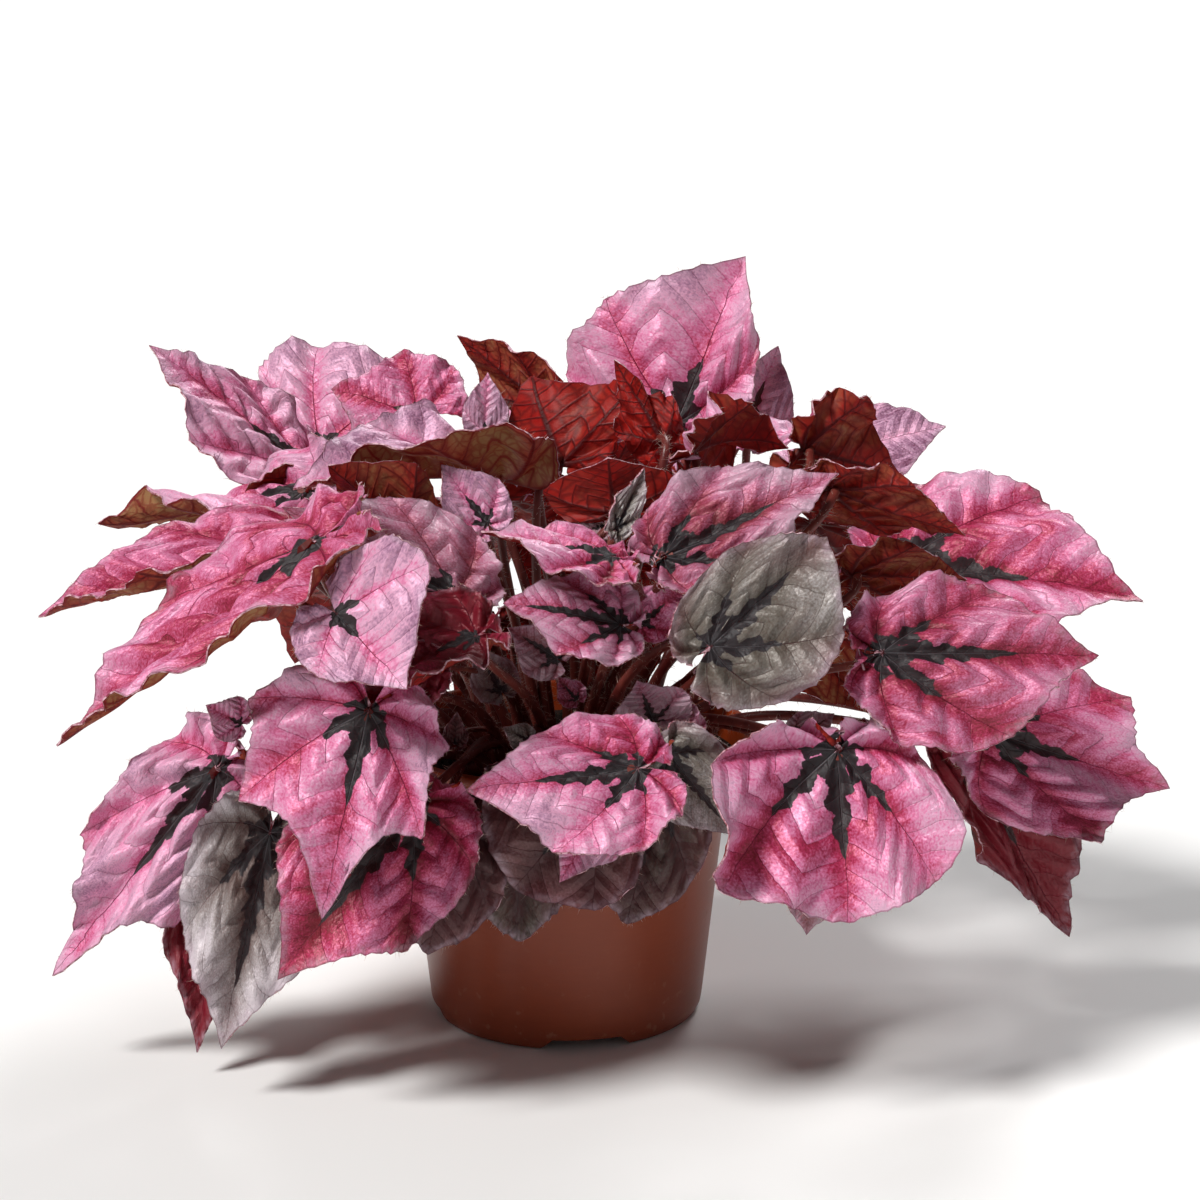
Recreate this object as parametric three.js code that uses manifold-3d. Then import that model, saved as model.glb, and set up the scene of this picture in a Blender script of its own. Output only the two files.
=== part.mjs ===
import * as THREE from "three";
import { mergeVertices } from "three/addons/utils/BufferGeometryUtils.js";
import Module from "manifold-3d";

// A rex begonia in a nursery pot. Millimetres, +Z up, the viewer at -Y.
// The origin is the middle of the pot's underside.

const wasm = await Module();
wasm.setup();

// Driving dimensions, mm and degrees.
const CLEARANCE = 0.3;

const POT = {
  height: 98,
  lipRadius: 64.4,
  lipHeight: 3,
  collarTopRadius: 62.4,
  collarFootRadius: 59.6,
  collarHeight: 21,
  bodyTopRadius: 55,
  bodyFootRadius: 47,
  footRadius: 44.5,
  footHeight: 4,
  footWidth: 7,
  padRadius: 10,
  wall: 1.4,
  floor: 1.6,
  edge: 0.7,
  sides: 28,
};
const NOTCHES = { count: 4, heading: 279, mouth: 33, roof: 25, reach: 16, overrun: 2 };
const DRAINS = { count: 4, radius: 4, ring: 26, sides: 10 };

const SOIL = { top: 88, crown: 2.5, bump: 0.9, pitch: 0.35, rings: [46, 28, 12] };

const RHIZOME = {
  headings: [25, 85, 140, 188, 214, 238, 262, 286, 312, 342],
  length: 44,
  radius: 5.5,
  tipRadius: 3.5,
  height: 86,
  rise: 4,
  root: 24,
  sides: 6,
  firstStalk: 0.25,
  stalkSpan: 0.72,
};
const STALK = {
  radius: 1.9,
  tipRadius: 1.35,
  sides: 4,
  steps: 6,
  inset: 1.8,
  rise: 0.4,
  arrival: 0.35,
  lean: 0.2,
  slant: 0.4,
};

// The heart shape is given by its reach from the stalk, for a blade one long: it shrinks by slope for each
// radian away from the tip, the point spreads over pointSpread radians, and widest is the half width of the
// plain shape, one radian from the tip. The edge's lobes fade out beyond lobesEnd radians, within lobesFade.
const HEART = {
  reach: 0.84,
  slope: 0.235,
  pointSpread: 0.15,
  widest: 0.52,
  bellySpread: 0.55,
  hindSkew: 0.35,
  lobesEnd: 1.65,
  lobesFade: 0.12,
};
const BLADE = {
  thickness: 0.8,
  sinus: 165,
  hub: 0.15,
  step: 0.01,
  calmTip: 2.5,
  pleat: 0.035,
  large: { spokes: 17, rings: 3 },
  small: { spokes: 13, rings: 2, length: 36 },
};

const LOOKS = {
  pink: { color: "#c9537c", roughness: 0.45, metalness: 0 },
  silver: { color: "#8f8a82", roughness: 0.45, metalness: 0 },
  stalk: { color: "#7d2a22", roughness: 0.5, metalness: 0 },
  soil: { color: "#1e1511", roughness: 0.95, metalness: 0 },
  pot: { color: "#a94a20", roughness: 0.4, metalness: 0 },
};

// What a leaf has when its own line says nothing else. width, skew, lobe, belly and notch are shares of the
// length: skew widens the left side (seen from above, base to tip), point draws out the tip, lobe lengthens
// the part behind the stalk, belly fills the middle, notch is the depth of the edge's lobes and wave the
// height of its ruffles. pleat multiplies the pleats between the main veins. arch, curl (left and right),
// fold and twist are the blade's bends in degrees.
const USUAL_LEAF = {
  width: 0.85,
  skew: 0,
  point: 0.16,
  lobe: 0,
  belly: 0.04,
  notch: 0.012,
  arch: 5,
  curl: [0, 0],
  fold: 3,
  twist: 0,
  wave: 0.025,
  turns: 5,
  pleat: 1,
  bow: [0, 0, 0],
  look: "pink",
};
const PHASE_STEP = 2.4;

// A bend that is too small to see, for blades that lie flat.
const FLAT = 1e-6;

// base is where the stalk meets the blade, tip its point, face the way its upper side looks, and bow moves
// the middle of its stalk.
const LEAVES = {
  left_high: {
    base: [-92, 45, 182], tip: [-143, 45, 224], face: [3, -5, 10], width: 0.74, skew: 0.28, curl: [5, 8],
    fold: 0, pleat: 0.6,
  },
  left_curl: {
    base: [-85, -12, 184], tip: [-156, -2, 172], face: [0, -7, 8], width: 0.58, arch: 10, twist: 125,
  },
  left_mid: {
    base: [-83, -58, 173], tip: [-168, -55, 155], face: [0, -4, 10], width: 0.5, curl: [62, 12],
    fold: 10, wave: 0.012, pleat: 0.4,
  },
  left_low: {
    base: [-73, -100, 184], tip: [-154, -107, 126], face: [-5, -4, 9], width: 0.54, curl: [18, 0],
    fold: 8, wave: 0.012, pleat: 0.4, bow: [-25, 10, -10],
  },
  left_grey: {
    base: [-33, -79, 163], tip: [-86, -74, 190], face: [1, -10, 2], width: 0.55, skew: -0.3,
    curl: [-5, -10],
  },
  left_heart: {
    base: [-65, -122, 168], tip: [-44, -138, 150], face: [0, -10, 4], width: 1.4, skew: 0.3, lobe: 0.12,
    curl: [10, -10], fold: 14, bow: [-32, 0, 0],
  },
  back_left_round: {
    base: [-88, 62, 184], tip: [-50, 78, 211], face: [-1, -10, 9], width: 1.5, skew: 0.15, arch: 12,
    curl: [-10, -10], bow: [0, 0, 10],
  },
  back_left_ruffled: {
    base: [-51, 22, 203], tip: [-81, 30, 211], face: [0, -10, 8], width: 1.1, lobe: 0.35, notch: 0.05,
    curl: [10, 10], bow: [10, 0, 10],
  },
  left_arched: {
    base: [-21, -20, 189], tip: [-85, -50, 196], face: [0, -1, 10], width: 0.9, arch: 12, curl: [40, 0],
    fold: 22,
  },
  left_funnel: {
    base: [-50, -58, 180], tip: [-72, -64, 203], face: [-3, 7, 8], width: 1, curl: [30, 30], fold: 10,
  },
  // centre
  young_silver: { base: [-24, -55, 181], tip: [-38, -50, 199], face: [2, -10, 3], width: 0.95, fold: 20 },
  centre_left: {
    base: [15, -86, 177], tip: [-24, -90, 187], face: [0, -2, 10], width: 0.8, arch: 10,
    curl: [-20, -10], bow: [20, 10, 20],
  },
  centre_big: {
    base: [31, -75, 175], tip: [86, -60, 199], face: [0, -1, 1], width: 0.68, lobe: -0.15, fold: 5,
  },
  centre_green: {
    base: [45, -97, 152], tip: [80, -89, 184], face: [-1, -10, 2], width: 0.72, skew: -0.25, point: 0,
    belly: 0.12, curl: [-8, -8], bow: [0, 0, 10], look: "silver",
  },
  centre_dark: { base: [18, -85, 156], tip: [-18, -90, 165], face: [0, -7, 8], width: 0.86 },
  centre_red: {
    base: [-26, -96, 155], tip: [-66, -104, 143], face: [0, -6, 8], width: 0.85, lobe: 0.02, notch: 0.04,
    curl: [55, 25], fold: 6,
  },
  centre_boat: {
    base: [16, -52, 184], tip: [14, -57, 203], face: [0, 10, 3], width: 2.15, lobe: 0, belly: 0.04,
    curl: [24, 24],
  },
  centre_slate: {
    base: [17, -66, 182], tip: [26, -56, 199], face: [5, -10, 3], width: 0.46, fold: 15, look: "silver",
  },
  // red undersides at the top
  fan_red: {
    base: [-1, -2, 190], tip: [-11, 14, 216], face: [0, 10, 5], width: 1.6, point: 0.02, lobe: -0.06,
    belly: 0.12, notch: 0.07, pleat: 1.4,
  },
  top_olive: { base: [-6, 30, 204], tip: [-37, 35, 228], face: [3, 10, 4], width: 0.62, fold: 0 },
  red_narrow: {
    base: [32, -16, 199], tip: [16, -4, 225], face: [-5, 10, 3], width: 0.7, notch: 0.08, fold: 10,
    pleat: 2,
  },
  red_arch: {
    base: [40, -28, 198], tip: [74, -10, 199], face: [0, 10, 6], width: 0.9, notch: 0.04, arch: 70,
    fold: 0, pleat: 2,
  },
  arch_inner: { base: [61, 10, 195], tip: [59, 30, 201], face: [0, -10, 9], width: 1.8, fold: 0 },
  top_big: {
    base: [38, 35, 197], tip: [62, 55, 254], face: [-1, -10, 4], width: 1.08, skew: 0.38, belly: -0.02,
    curl: [-10, -10], pleat: 1.5,
  },
  top_small: { base: [63, 60, 190], tip: [75, 70, 219], face: [0, -10, 3], width: 0.8 },
  // right side
  right_red_high: {
    base: [77, -28, 200], tip: [109, -15, 190], face: [-2, 10, 3], width: 1.25, notch: 0.04, fold: 0,
    pleat: 1.5,
  },
  right_red_low: {
    base: [84, -48, 191], tip: [128, -42, 175], face: [2, 10, 4], width: 0.5, arch: 10, fold: 0,
  },
  right_back: {
    base: [101, 50, 186], tip: [133, 50, 194], face: [0, -10, 8], arch: 10, fold: 0, bow: [0, 0, 10],
  },
  right_top: {
    base: [113, 15, 153], tip: [196, 0, 146], face: [0, -9, 10], width: 0.88, skew: 0.12,
    curl: [-10, -20],
  },
  right_under: { base: [92, -40, 161], tip: [130, -28, 158], face: [0, 10, 2], width: 0.6, fold: 0 },
  right_big: {
    base: [98, -85, 147], tip: [168, -75, 145], face: [0, -10, 6], width: 0.74, skew: -0.1, lobe: -0.08,
    belly: 0.1, arch: 0, curl: [-26, -6],
  },
  right_low: {
    base: [138, -45, 110], tip: [200, -35, 88], face: [2, -10, 5], width: 0.66, skew: 0.0, point: 0.05,
    lobe: -0.08, belly: 0.2, notch: 0.06, curl: [-8, -8], pleat: 0.7, bow: [10, -30, 2],
  },
  right_dark: {
    base: [129, -32, 105], tip: [171, -24, 31], face: [3, -10, 3], width: 0.5, skew: 0.35, lobe: -0.05,
    arch: 8,
  },
  right_front: {
    base: [84, -95, 119], tip: [87, -118, 71], face: [0, -10, 5], width: 0.95, skew: -0.17, point: 0.0,
    lobe: -0.1, belly: 0.3, notch: 0.0, arch: 8, curl: [-10, 38], fold: 0, pleat: 2.2,
  },
  right_front_under: {
    base: [78, -90, 79], tip: [76, -90, 57], face: [0, -10, 2], bow: [0, 0, 10], look: "silver",
  },
  // front and lower left
  front_left: {
    base: [-57, -115, 137], tip: [-71, -135, 77], face: [0, -10, 4], width: 1, skew: -0.18, lobe: -0.04,
    belly: 0.06, notch: 0.11, arch: 8, curl: [-12, -12],
  },
  front_left_red: {
    base: [-46, -95, 101], tip: [-88, -112, 50], face: [0, -10, 4], notch: 0.03, arch: 8,
    curl: [-12, -12],
  },
  left_hanging: {
    base: [-110, -60, 102], tip: [-168, -65, 33], face: [-2, -10, 4], width: 0.54, lobe: -0.06,
    belly: 0.08, notch: 0.07, curl: [-8, -8],
  },
  left_silver: {
    base: [-91, -85, 89], tip: [-108, -92, 19], face: [0, -10, 3], width: 0.62, arch: 8, look: "silver",
  },
  left_last: {
    base: [-110, -54, 75], tip: [-119, -69, 9], face: [0, -10, 3], width: 0.46, arch: 8, bow: [0, 0, 10],
  },
  under_red: {
    base: [-34, -78, 86], tip: [-43, -80, 46], face: [0, -10, 2], width: 0.8, point: 0.04,
    bow: [-10, -10, 10], look: "silver",
  },
  front_centre: {
    base: [23, -110, 118], tip: [-29, -118, 114], face: [0, -10, 8], width: 0.82, skew: 0.2, lobe: 0.04,
    arch: 0, bow: [0, -10, 0],
  },
  front_tip: {
    base: [12, -92, 97], tip: [-1, -98, 77], face: [0, -10, 3], width: 0.9, notch: 0.05,
    bow: [5, -25, 10],
  },
  front_grey: {
    base: [8, -84, 99], tip: [-16, -86, 70], face: [0, -10, 3], width: 1.05, point: 0, belly: 0.12,
    look: "silver",
  },
  front_olive_left: {
    base: [-13, -72, 96], tip: [-15, -74, 48], face: [0, -10, 2], width: 0.62, point: 0, belly: 0.05,
    bow: [0, 0, 14], look: "silver",
  },
  front_olive_right: {
    base: [29, -74, 96], tip: [20, -76, 55], face: [0, -10, 2], width: 0.8, point: 0.02, belly: 0.02,
    bow: [0, 0, 10], look: "silver",
  },
  young_star: {
    base: [28, -80, 124], tip: [23, -81, 137], face: [0, -10, 3], width: 1.5, lobe: 0.35, look: "silver",
  },
  rim_olive: {
    base: [33, -90, 116], tip: [54, -86, 88], face: [0, -10, 5], width: 0.8, bow: [4, 0, 4],
    look: "silver",
  },
  rim_grey: { base: [70, -70, 109], tip: [54, -68, 87], face: [0, -10, 5], look: "silver" },
  // the back, which the photograph doesn't show
  back_west: {
    base: [-100, 45, 140], tip: [-158, 70, 98], face: [-6, 5, 10], arch: 20, curl: [-15, -15],
  },
  back_north_west: {
    base: [-66, 78, 145], tip: [-108, 128, 92], face: [-4, 8, 6], arch: 20, curl: [-15, -15],
  },
  back_north: {
    base: [-22, 88, 160], tip: [-36, 150, 115], face: [-2, 8, 8], arch: 20, curl: [-15, -15],
  },
  back_north_east: {
    base: [32, 90, 150], tip: [44, 152, 98], face: [2, 8, 8], arch: 20, curl: [-15, -15],
  },
  back_east: { base: [88, 70, 155], tip: [130, 122, 104], face: [4, 8, 7], arch: 20, curl: [-15, -15] },
  back_far_east: {
    base: [112, 48, 112], tip: [165, 78, 66], face: [6, 6, 9], arch: 20, curl: [-15, -15],
  },
  back_low: { base: [-12, 84, 108], tip: [-20, 112, 48], face: [-1, 10, 4], arch: 15, look: "silver" },
  back_top: {
    base: [6, 62, 192], tip: [-2, 116, 202], face: [0, 1, 10], width: 0.9, arch: 20, curl: [-15, -15],
  },
};

const radians = THREE.MathUtils.degToRad;
const vector = (coordinates) => new THREE.Vector3(...coordinates);
const aim = (heading, radius, height) =>
  new THREE.Vector3(Math.cos(heading) * radius, Math.sin(heading) * radius, height);

// Solids.

function solidOf(geometry) {
  const bare = geometry.clone();
  bare.deleteAttribute("normal");
  bare.deleteAttribute("uv");
  const merged = mergeVertices(bare, 1e-4);
  const mesh = new wasm.Mesh({
    numProp: 3,
    vertProperties: new Float32Array(merged.attributes.position.array),
    triVerts: new Uint32Array(merged.index.array),
  });
  mesh.merge();
  return new wasm.Manifold(mesh);
}

function geometryOf(solid) {
  const mesh = solid.getMesh();
  const geometry = new THREE.BufferGeometry();
  geometry.setAttribute("position", new THREE.BufferAttribute(mesh.vertProperties, 3));
  geometry.setIndex(new THREE.BufferAttribute(mesh.triVerts, 1));
  return geometry;
}

function joined(solids) {
  return solids.reduce((sum, solid) => sum.add(solid));
}

function turned(profile, sides) {
  const points = profile.map(([radius, height]) => new THREE.Vector2(radius, height));
  return new THREE.LatheGeometry(points, sides).rotateX(Math.PI / 2);
}

function indexed(points, triangles) {
  const geometry = new THREE.BufferGeometry().setFromPoints(points);
  geometry.setIndex(triangles.flat());
  return geometry;
}

// A tube through the points of a curve whose radius runs from radius to tipRadius.
function taperedTube(curve, steps, sides, radius, tipRadius) {
  const frames = curve.computeFrenetFrames(steps);
  const points = [];
  const triangles = [];
  for (let step = 0; step <= steps; step += 1) {
    const middle = curve.getPointAt(step / steps);
    const size = THREE.MathUtils.lerp(radius, tipRadius, step / steps);
    for (let side = 0; side < sides; side += 1) {
      const turn = (2 * Math.PI * side) / sides;
      const point = middle.clone();
      point.addScaledVector(frames.normals[step], size * Math.cos(turn));
      point.addScaledVector(frames.binormals[step], size * Math.sin(turn));
      points.push(point);
    }
  }
  const at = (step, side) => step * sides + (side % sides);
  for (let side = 0; side < sides; side += 1) {
    for (let step = 0; step < steps; step += 1) {
      triangles.push([at(step, side), at(step, side + 1), at(step + 1, side + 1)]);
      triangles.push([at(step, side), at(step + 1, side + 1), at(step + 1, side)]);
    }
    if (side > 1) {
      triangles.push([at(0, 0), at(0, side), at(0, side - 1)]);
      triangles.push([at(steps, 0), at(steps, side - 1), at(steps, side)]);
    }
  }
  return indexed(points, triangles);
}

// Pot.

function potGeometry() {
  const lipFoot = POT.height - POT.lipHeight;
  const collarFoot = POT.height - POT.collarHeight;
  const floorTop = POT.footHeight + POT.floor;
  const innerFoot = POT.bodyFootRadius - POT.wall;
  const footInner = POT.footRadius - POT.footWidth;
  const body = solidOf(
    turned(
      [
        [0, 0],
        [POT.padRadius, 0],
        [POT.padRadius + POT.edge, POT.footHeight],
        [footInner, POT.footHeight],
        [footInner + POT.edge, 0],
        [POT.footRadius, 0],
        [POT.bodyFootRadius - POT.edge, 2],
        [POT.bodyFootRadius, POT.footHeight + POT.edge],
        [POT.bodyTopRadius, collarFoot],
        [POT.collarFootRadius, collarFoot + POT.edge],
        [POT.collarTopRadius, lipFoot],
        [POT.lipRadius, lipFoot + POT.edge],
        [POT.lipRadius, POT.height - POT.edge],
        [POT.lipRadius - POT.edge, POT.height],
        [POT.collarTopRadius - POT.wall, POT.height],
        [POT.collarFootRadius - POT.wall, collarFoot + POT.edge + POT.wall],
        [POT.bodyTopRadius - POT.wall, collarFoot + POT.wall],
        [innerFoot, floorTop + POT.wall],
        [innerFoot - POT.wall, floorTop],
        [0, floorTop],
      ],
      POT.sides,
    ),
  );
  return geometryOf(body.subtract(joined([...notches(), ...drains()])));
}

// The gaps between the arcs that the pot stands on.
function notches() {
  const deep = 1;
  const outline = new THREE.Shape([
    new THREE.Vector2(-NOTCHES.mouth / 2, -deep),
    new THREE.Vector2(NOTCHES.mouth / 2, -deep),
    new THREE.Vector2(NOTCHES.mouth / 2, 0),
    new THREE.Vector2(NOTCHES.roof / 2, POT.footHeight),
    new THREE.Vector2(-NOTCHES.roof / 2, POT.footHeight),
    new THREE.Vector2(-NOTCHES.mouth / 2, 0),
  ]);
  const up = new THREE.Vector3(0, 0, 1);
  return Array.from({ length: NOTCHES.count }, (_, index) => {
    const heading = radians(NOTCHES.heading + (360 * index) / NOTCHES.count);
    const outward = aim(heading, 1, 0);
    const cut = new THREE.ExtrudeGeometry(outline, { depth: NOTCHES.reach, bevelEnabled: false });
    const place = new THREE.Matrix4().makeBasis(up.clone().cross(outward), up, outward);
    place.setPosition(outward.multiplyScalar(POT.bodyFootRadius - NOTCHES.reach + NOTCHES.overrun));
    return solidOf(cut.applyMatrix4(place));
  });
}

function drains() {
  return Array.from({ length: DRAINS.count }, (_, index) => {
    const heading = radians(NOTCHES.heading + (360 * index) / DRAINS.count);
    const hole = new THREE.CylinderGeometry(DRAINS.radius, DRAINS.radius, POT.height / 4, DRAINS.sides);
    hole.rotateX(Math.PI / 2);
    hole.translate(...aim(heading, DRAINS.ring, 0));
    return solidOf(hole);
  });
}

// Soil.

function soilGeometry() {
  const collarFoot = POT.height - POT.collarHeight;
  const floorTop = POT.footHeight + POT.floor;
  const foot = POT.bodyFootRadius - POT.wall - CLEARANCE;
  const shoulder = POT.bodyTopRadius - POT.wall - CLEARANCE;
  const ledge = collarFoot + POT.wall + 2 * CLEARANCE;
  const collar = POT.collarFootRadius - POT.wall - CLEARANCE;
  const blank = turned(
    [
      [0, floorTop + CLEARANCE],
      [foot - POT.wall, floorTop + CLEARANCE],
      [foot, floorTop + POT.wall + CLEARANCE],
      [shoulder, ledge],
      [collar, ledge + POT.edge + CLEARANCE],
      [collar, SOIL.top],
      ...SOIL.rings.map((radius) => [radius, SOIL.top]),
      [0, SOIL.top],
    ],
    POT.sides,
  );
  const places = blank.attributes.position;
  for (let index = 0; index < places.count; index += 1) {
    const x = places.getX(index);
    const y = places.getY(index);
    if (places.getZ(index) > SOIL.top - CLEARANCE) {
      const reach = Math.hypot(x, y) / collar;
      const lumps = Math.sin(x * SOIL.pitch) * Math.cos(y * SOIL.pitch);
      places.setZ(index, SOIL.top + SOIL.crown * (1 - reach ** 2) + SOIL.bump * lumps * (1 - reach ** 4));
    }
  }
  return geometryOf(solidOf(blank).subtract(rhizomeSolid(CLEARANCE)));
}

// Rhizome and stalks.

function armPoint(arm, share) {
  return aim(radians(RHIZOME.headings[arm]), RHIZOME.length * share, RHIZOME.height + RHIZOME.rise * share);
}

// Each arm carries the leaves that are nearest to its heading, the far ones at its end.
function placeOnArms() {
  const arms = RHIZOME.headings.map(() => []);
  const apart = (heading, leaf) => Math.cos(radians(heading) - Math.atan2(leaf.base[1], leaf.base[0]));
  for (const leaf of leaves) {
    const closeness = RHIZOME.headings.map((heading) => apart(heading, leaf));
    arms[closeness.indexOf(Math.max(...closeness))].push(leaf);
  }
  arms.forEach((carried, arm) => {
    carried.sort((a, b) => Math.hypot(a.base[0], a.base[1]) - Math.hypot(b.base[0], b.base[1]));
    carried.forEach((leaf, rank) => {
      leaf.start = armPoint(arm, RHIZOME.firstStalk + (RHIZOME.stalkSpan * (rank + 0.5)) / carried.length);
    });
  });
}

function rhizomeSolid(grown) {
  const tubes = RHIZOME.headings.map((_, arm) => {
    const line = new THREE.LineCurve3(armPoint(arm, 0), armPoint(arm, 1 + grown / RHIZOME.length));
    return taperedTube(line, 1, RHIZOME.sides, RHIZOME.radius + grown, RHIZOME.tipRadius + grown);
  });
  const top = new THREE.Vector3(0, 0, RHIZOME.height);
  const bottom = new THREE.Vector3(0, 0, RHIZOME.height - RHIZOME.root - grown);
  const root = new THREE.LineCurve3(top, bottom);
  tubes.push(taperedTube(root, 1, RHIZOME.sides, RHIZOME.radius + grown, RHIZOME.tipRadius + grown));
  return joined(tubes.map(solidOf));
}

// A stalk leaves the nearest arm of the rhizome and reaches its blade from below.
function stalkCurve(leaf) {
  const frame = bladeFrame(leaf);
  const base = vector(leaf.base);
  const arrival = frame.along.clone().multiplyScalar(STALK.lean).add(frame.face).normalize();
  const under = BLADE.thickness / 2 + CLEARANCE + STALK.tipRadius * STALK.slant;
  const end = base.clone().addScaledVector(frame.along, STALK.inset).addScaledVector(frame.face, -under);
  const reach = leaf.start.distanceTo(end);
  const first = leaf.start.clone().add(vector([0, 0, reach * STALK.rise])).add(vector(leaf.bow));
  const second = end.clone().addScaledVector(arrival, -reach * STALK.arrival).add(vector(leaf.bow));
  return new THREE.CubicBezierCurve3(leaf.start, first, second, end);
}

function stemsGeometry() {
  const stalks = leaves.map((leaf) =>
    solidOf(taperedTube(stalkCurve(leaf), STALK.steps, STALK.sides, STALK.radius, STALK.tipRadius)),
  );
  return geometryOf(joined([rhizomeSolid(0), ...stalks]));
}

// Blades.

// Distance from the stalk to the edge at an angle from the tip, for a blade one long.
function outline(leaf, angle) {
  const turn = Math.abs(angle);
  const heart = HEART.reach - HEART.slope * turn + leaf.point * Math.exp(-turn / HEART.pointSpread);
  const behind = (leaf.lobe * (1 - Math.cos(turn))) / 2;
  const middle = leaf.belly * Math.exp(-(((turn - 1) / HEART.bellySpread) ** 2));
  const lobes = turn / leaf.lobeAngle;
  const tooth = Math.abs((lobes % 1) - 0.5) * 4 - 1;
  const fade = 1 / (1 + Math.exp((turn - HEART.lobesEnd) / HEART.lobesFade));
  return (heart + behind + middle) * (1 + leaf.notch * (tooth - 1) * fade);
}

// A point of the blade before it is placed: x towards the tip, y to the left, z up, for a blade one long.
function bentPoint(leaf, angle, share) {
  const reach = outline(leaf, angle) * share;
  const side = angle < 0 ? -1 : 1;
  let x = reach * Math.cos(angle);
  const half = leaf.width / 2;
  const out = Math.abs(reach * Math.sin(angle)) * (half / HEART.widest) * (1 + leaf.skew * side);
  if (x < 0) x *= 1 + HEART.hindSkew * leaf.skew * side;
  const curl = radians(leaf.curl[side > 0 ? 0 : 1]) + FLAT;
  const across = (Math.sin((curl * out) / half) / curl) * half;
  const raised = ((1 - Math.cos((curl * out) / half)) / curl) * half;
  const fold = radians(leaf.fold);
  const y = side * (across * Math.cos(fold) - raised * Math.sin(fold));
  const calm = Math.min(1, Math.abs(angle) * BLADE.calmTip);
  const ruffle = Math.sin(leaf.turns * angle + leaf.phase) * share ** 2 * calm;
  const pleats = -Math.cos((2 * Math.PI * angle) / leaf.lobeAngle) * share;
  const lift = leaf.wave * ruffle + BLADE.pleat * leaf.pleat * pleats;
  const z = across * Math.sin(fold) + raised * Math.cos(fold) + lift;
  const arch = radians(leaf.arch) + FLAT;
  const lengthwise = Math.sin(arch * x) / arch + z * Math.sin(arch * x);
  const height = -(1 - Math.cos(arch * x)) / arch + z * Math.cos(arch * x);
  const twist = radians(leaf.twist) * x;
  return new THREE.Vector3(lengthwise, y, height).applyAxisAngle(new THREE.Vector3(1, 0, 0), twist);
}

function bladeFrame(leaf) {
  const along = vector(leaf.tip).sub(vector(leaf.base)).normalize();
  const face = vector(leaf.face);
  face.addScaledVector(along, -face.dot(along)).normalize();
  return { along, left: face.clone().cross(along), face };
}

// The blade's surface point and the direction its upper side faces there, in the plant's own frame.
function bladeSurface(leaf) {
  const tip = bentPoint(leaf, 0, 1);
  const along = tip.clone().normalize();
  const up = new THREE.Vector3(0, 0, 1).addScaledVector(along, -along.z).normalize();
  const flat = new THREE.Matrix4().makeBasis(along, up.clone().cross(along), up).transpose();
  const frame = bladeFrame(leaf);
  const place = new THREE.Matrix4().makeBasis(frame.along, frame.left, frame.face).multiply(flat);
  const size = leaf.length / tip.length();
  const point = (angle, share) =>
    bentPoint(leaf, angle, share).multiplyScalar(size).applyMatrix4(place).add(vector(leaf.base));
  const normal = (angle, share) => {
    const reach = Math.max(share, BLADE.hub);
    const outward = point(angle, reach + BLADE.step).sub(point(angle, reach - BLADE.step));
    const around = point(angle + BLADE.step, reach).sub(point(angle - BLADE.step, reach));
    return outward.cross(around).normalize();
  };
  return { point, normal };
}

// A blade is a fan of spokes round its stalk, open at the notch behind it, its two faces cut up alike.
function bladeGeometry(leaf) {
  const { spokes, rings } = leaf;
  const surface = bladeSurface(leaf);
  const points = [];
  const middle = surface.normal(0, 0);
  for (const side of [1, -1]) {
    points.push(surface.point(0, 0).addScaledVector(middle, (side * BLADE.thickness) / 2));
    for (let spoke = 0; spoke < spokes; spoke += 1) {
      const angle = radians(BLADE.sinus) * ((2 * spoke) / (spokes - 1) - 1);
      for (let ring = 1; ring <= rings; ring += 1) {
        const share = ring / rings;
        const lift = surface.normal(angle, share).multiplyScalar((side * BLADE.thickness) / 2);
        points.push(surface.point(angle, share).add(lift));
      }
    }
  }
  const below = points.length / 2;
  const at = (spoke, ring) => (ring === 0 ? 0 : 1 + spoke * rings + ring - 1);
  const triangles = [];
  const faces = (a, b, c) => triangles.push([a, b, c], [a + below, c + below, b + below]);
  const edge = (a, b) => triangles.push([a + below, b + below, b], [a + below, b, a]);
  for (let spoke = 0; spoke < spokes - 1; spoke += 1) {
    faces(0, at(spoke, 1), at(spoke + 1, 1));
    for (let ring = 1; ring < rings; ring += 1) {
      faces(at(spoke, ring), at(spoke, ring + 1), at(spoke + 1, ring + 1));
      faces(at(spoke, ring), at(spoke + 1, ring + 1), at(spoke + 1, ring));
    }
    edge(at(spoke, rings), at(spoke + 1, rings));
  }
  for (let ring = 0; ring < rings; ring += 1) {
    edge(at(0, ring), at(0, ring + 1));
    edge(at(spokes - 1, ring + 1), at(spokes - 1, ring));
  }
  return indexed(points, triangles);
}

// The plant in its pot.

const leaves = Object.entries(LEAVES).map(([name, own], index) => {
  const length = vector(own.tip).distanceTo(vector(own.base));
  const { spokes, rings } = length < BLADE.small.length ? BLADE.small : BLADE.large;
  const lobeAngle = (4 * radians(BLADE.sinus)) / (spokes - 1);
  return { ...USUAL_LEAF, ...own, name, length, spokes, rings, lobeAngle, phase: index * PHASE_STEP };
});
placeOnArms();

function named(name, geometry, look) {
  const mesh = new THREE.Mesh(geometry, new THREE.MeshStandardMaterial(LOOKS[look]));
  mesh.name = name;
  return mesh;
}

const plant = new THREE.Group();
plant.add(named("stems", stemsGeometry(), "stalk"));
for (const leaf of leaves) {
  plant.add(named(`leaf_${leaf.name}`, bladeGeometry(leaf), leaf.look));
}

const begonia = new THREE.Group();
begonia.add(named("pot", potGeometry(), "pot"));
begonia.add(named("soil", soilGeometry(), "soil"));
begonia.add(plant);

export default begonia;
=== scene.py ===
import math

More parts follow.
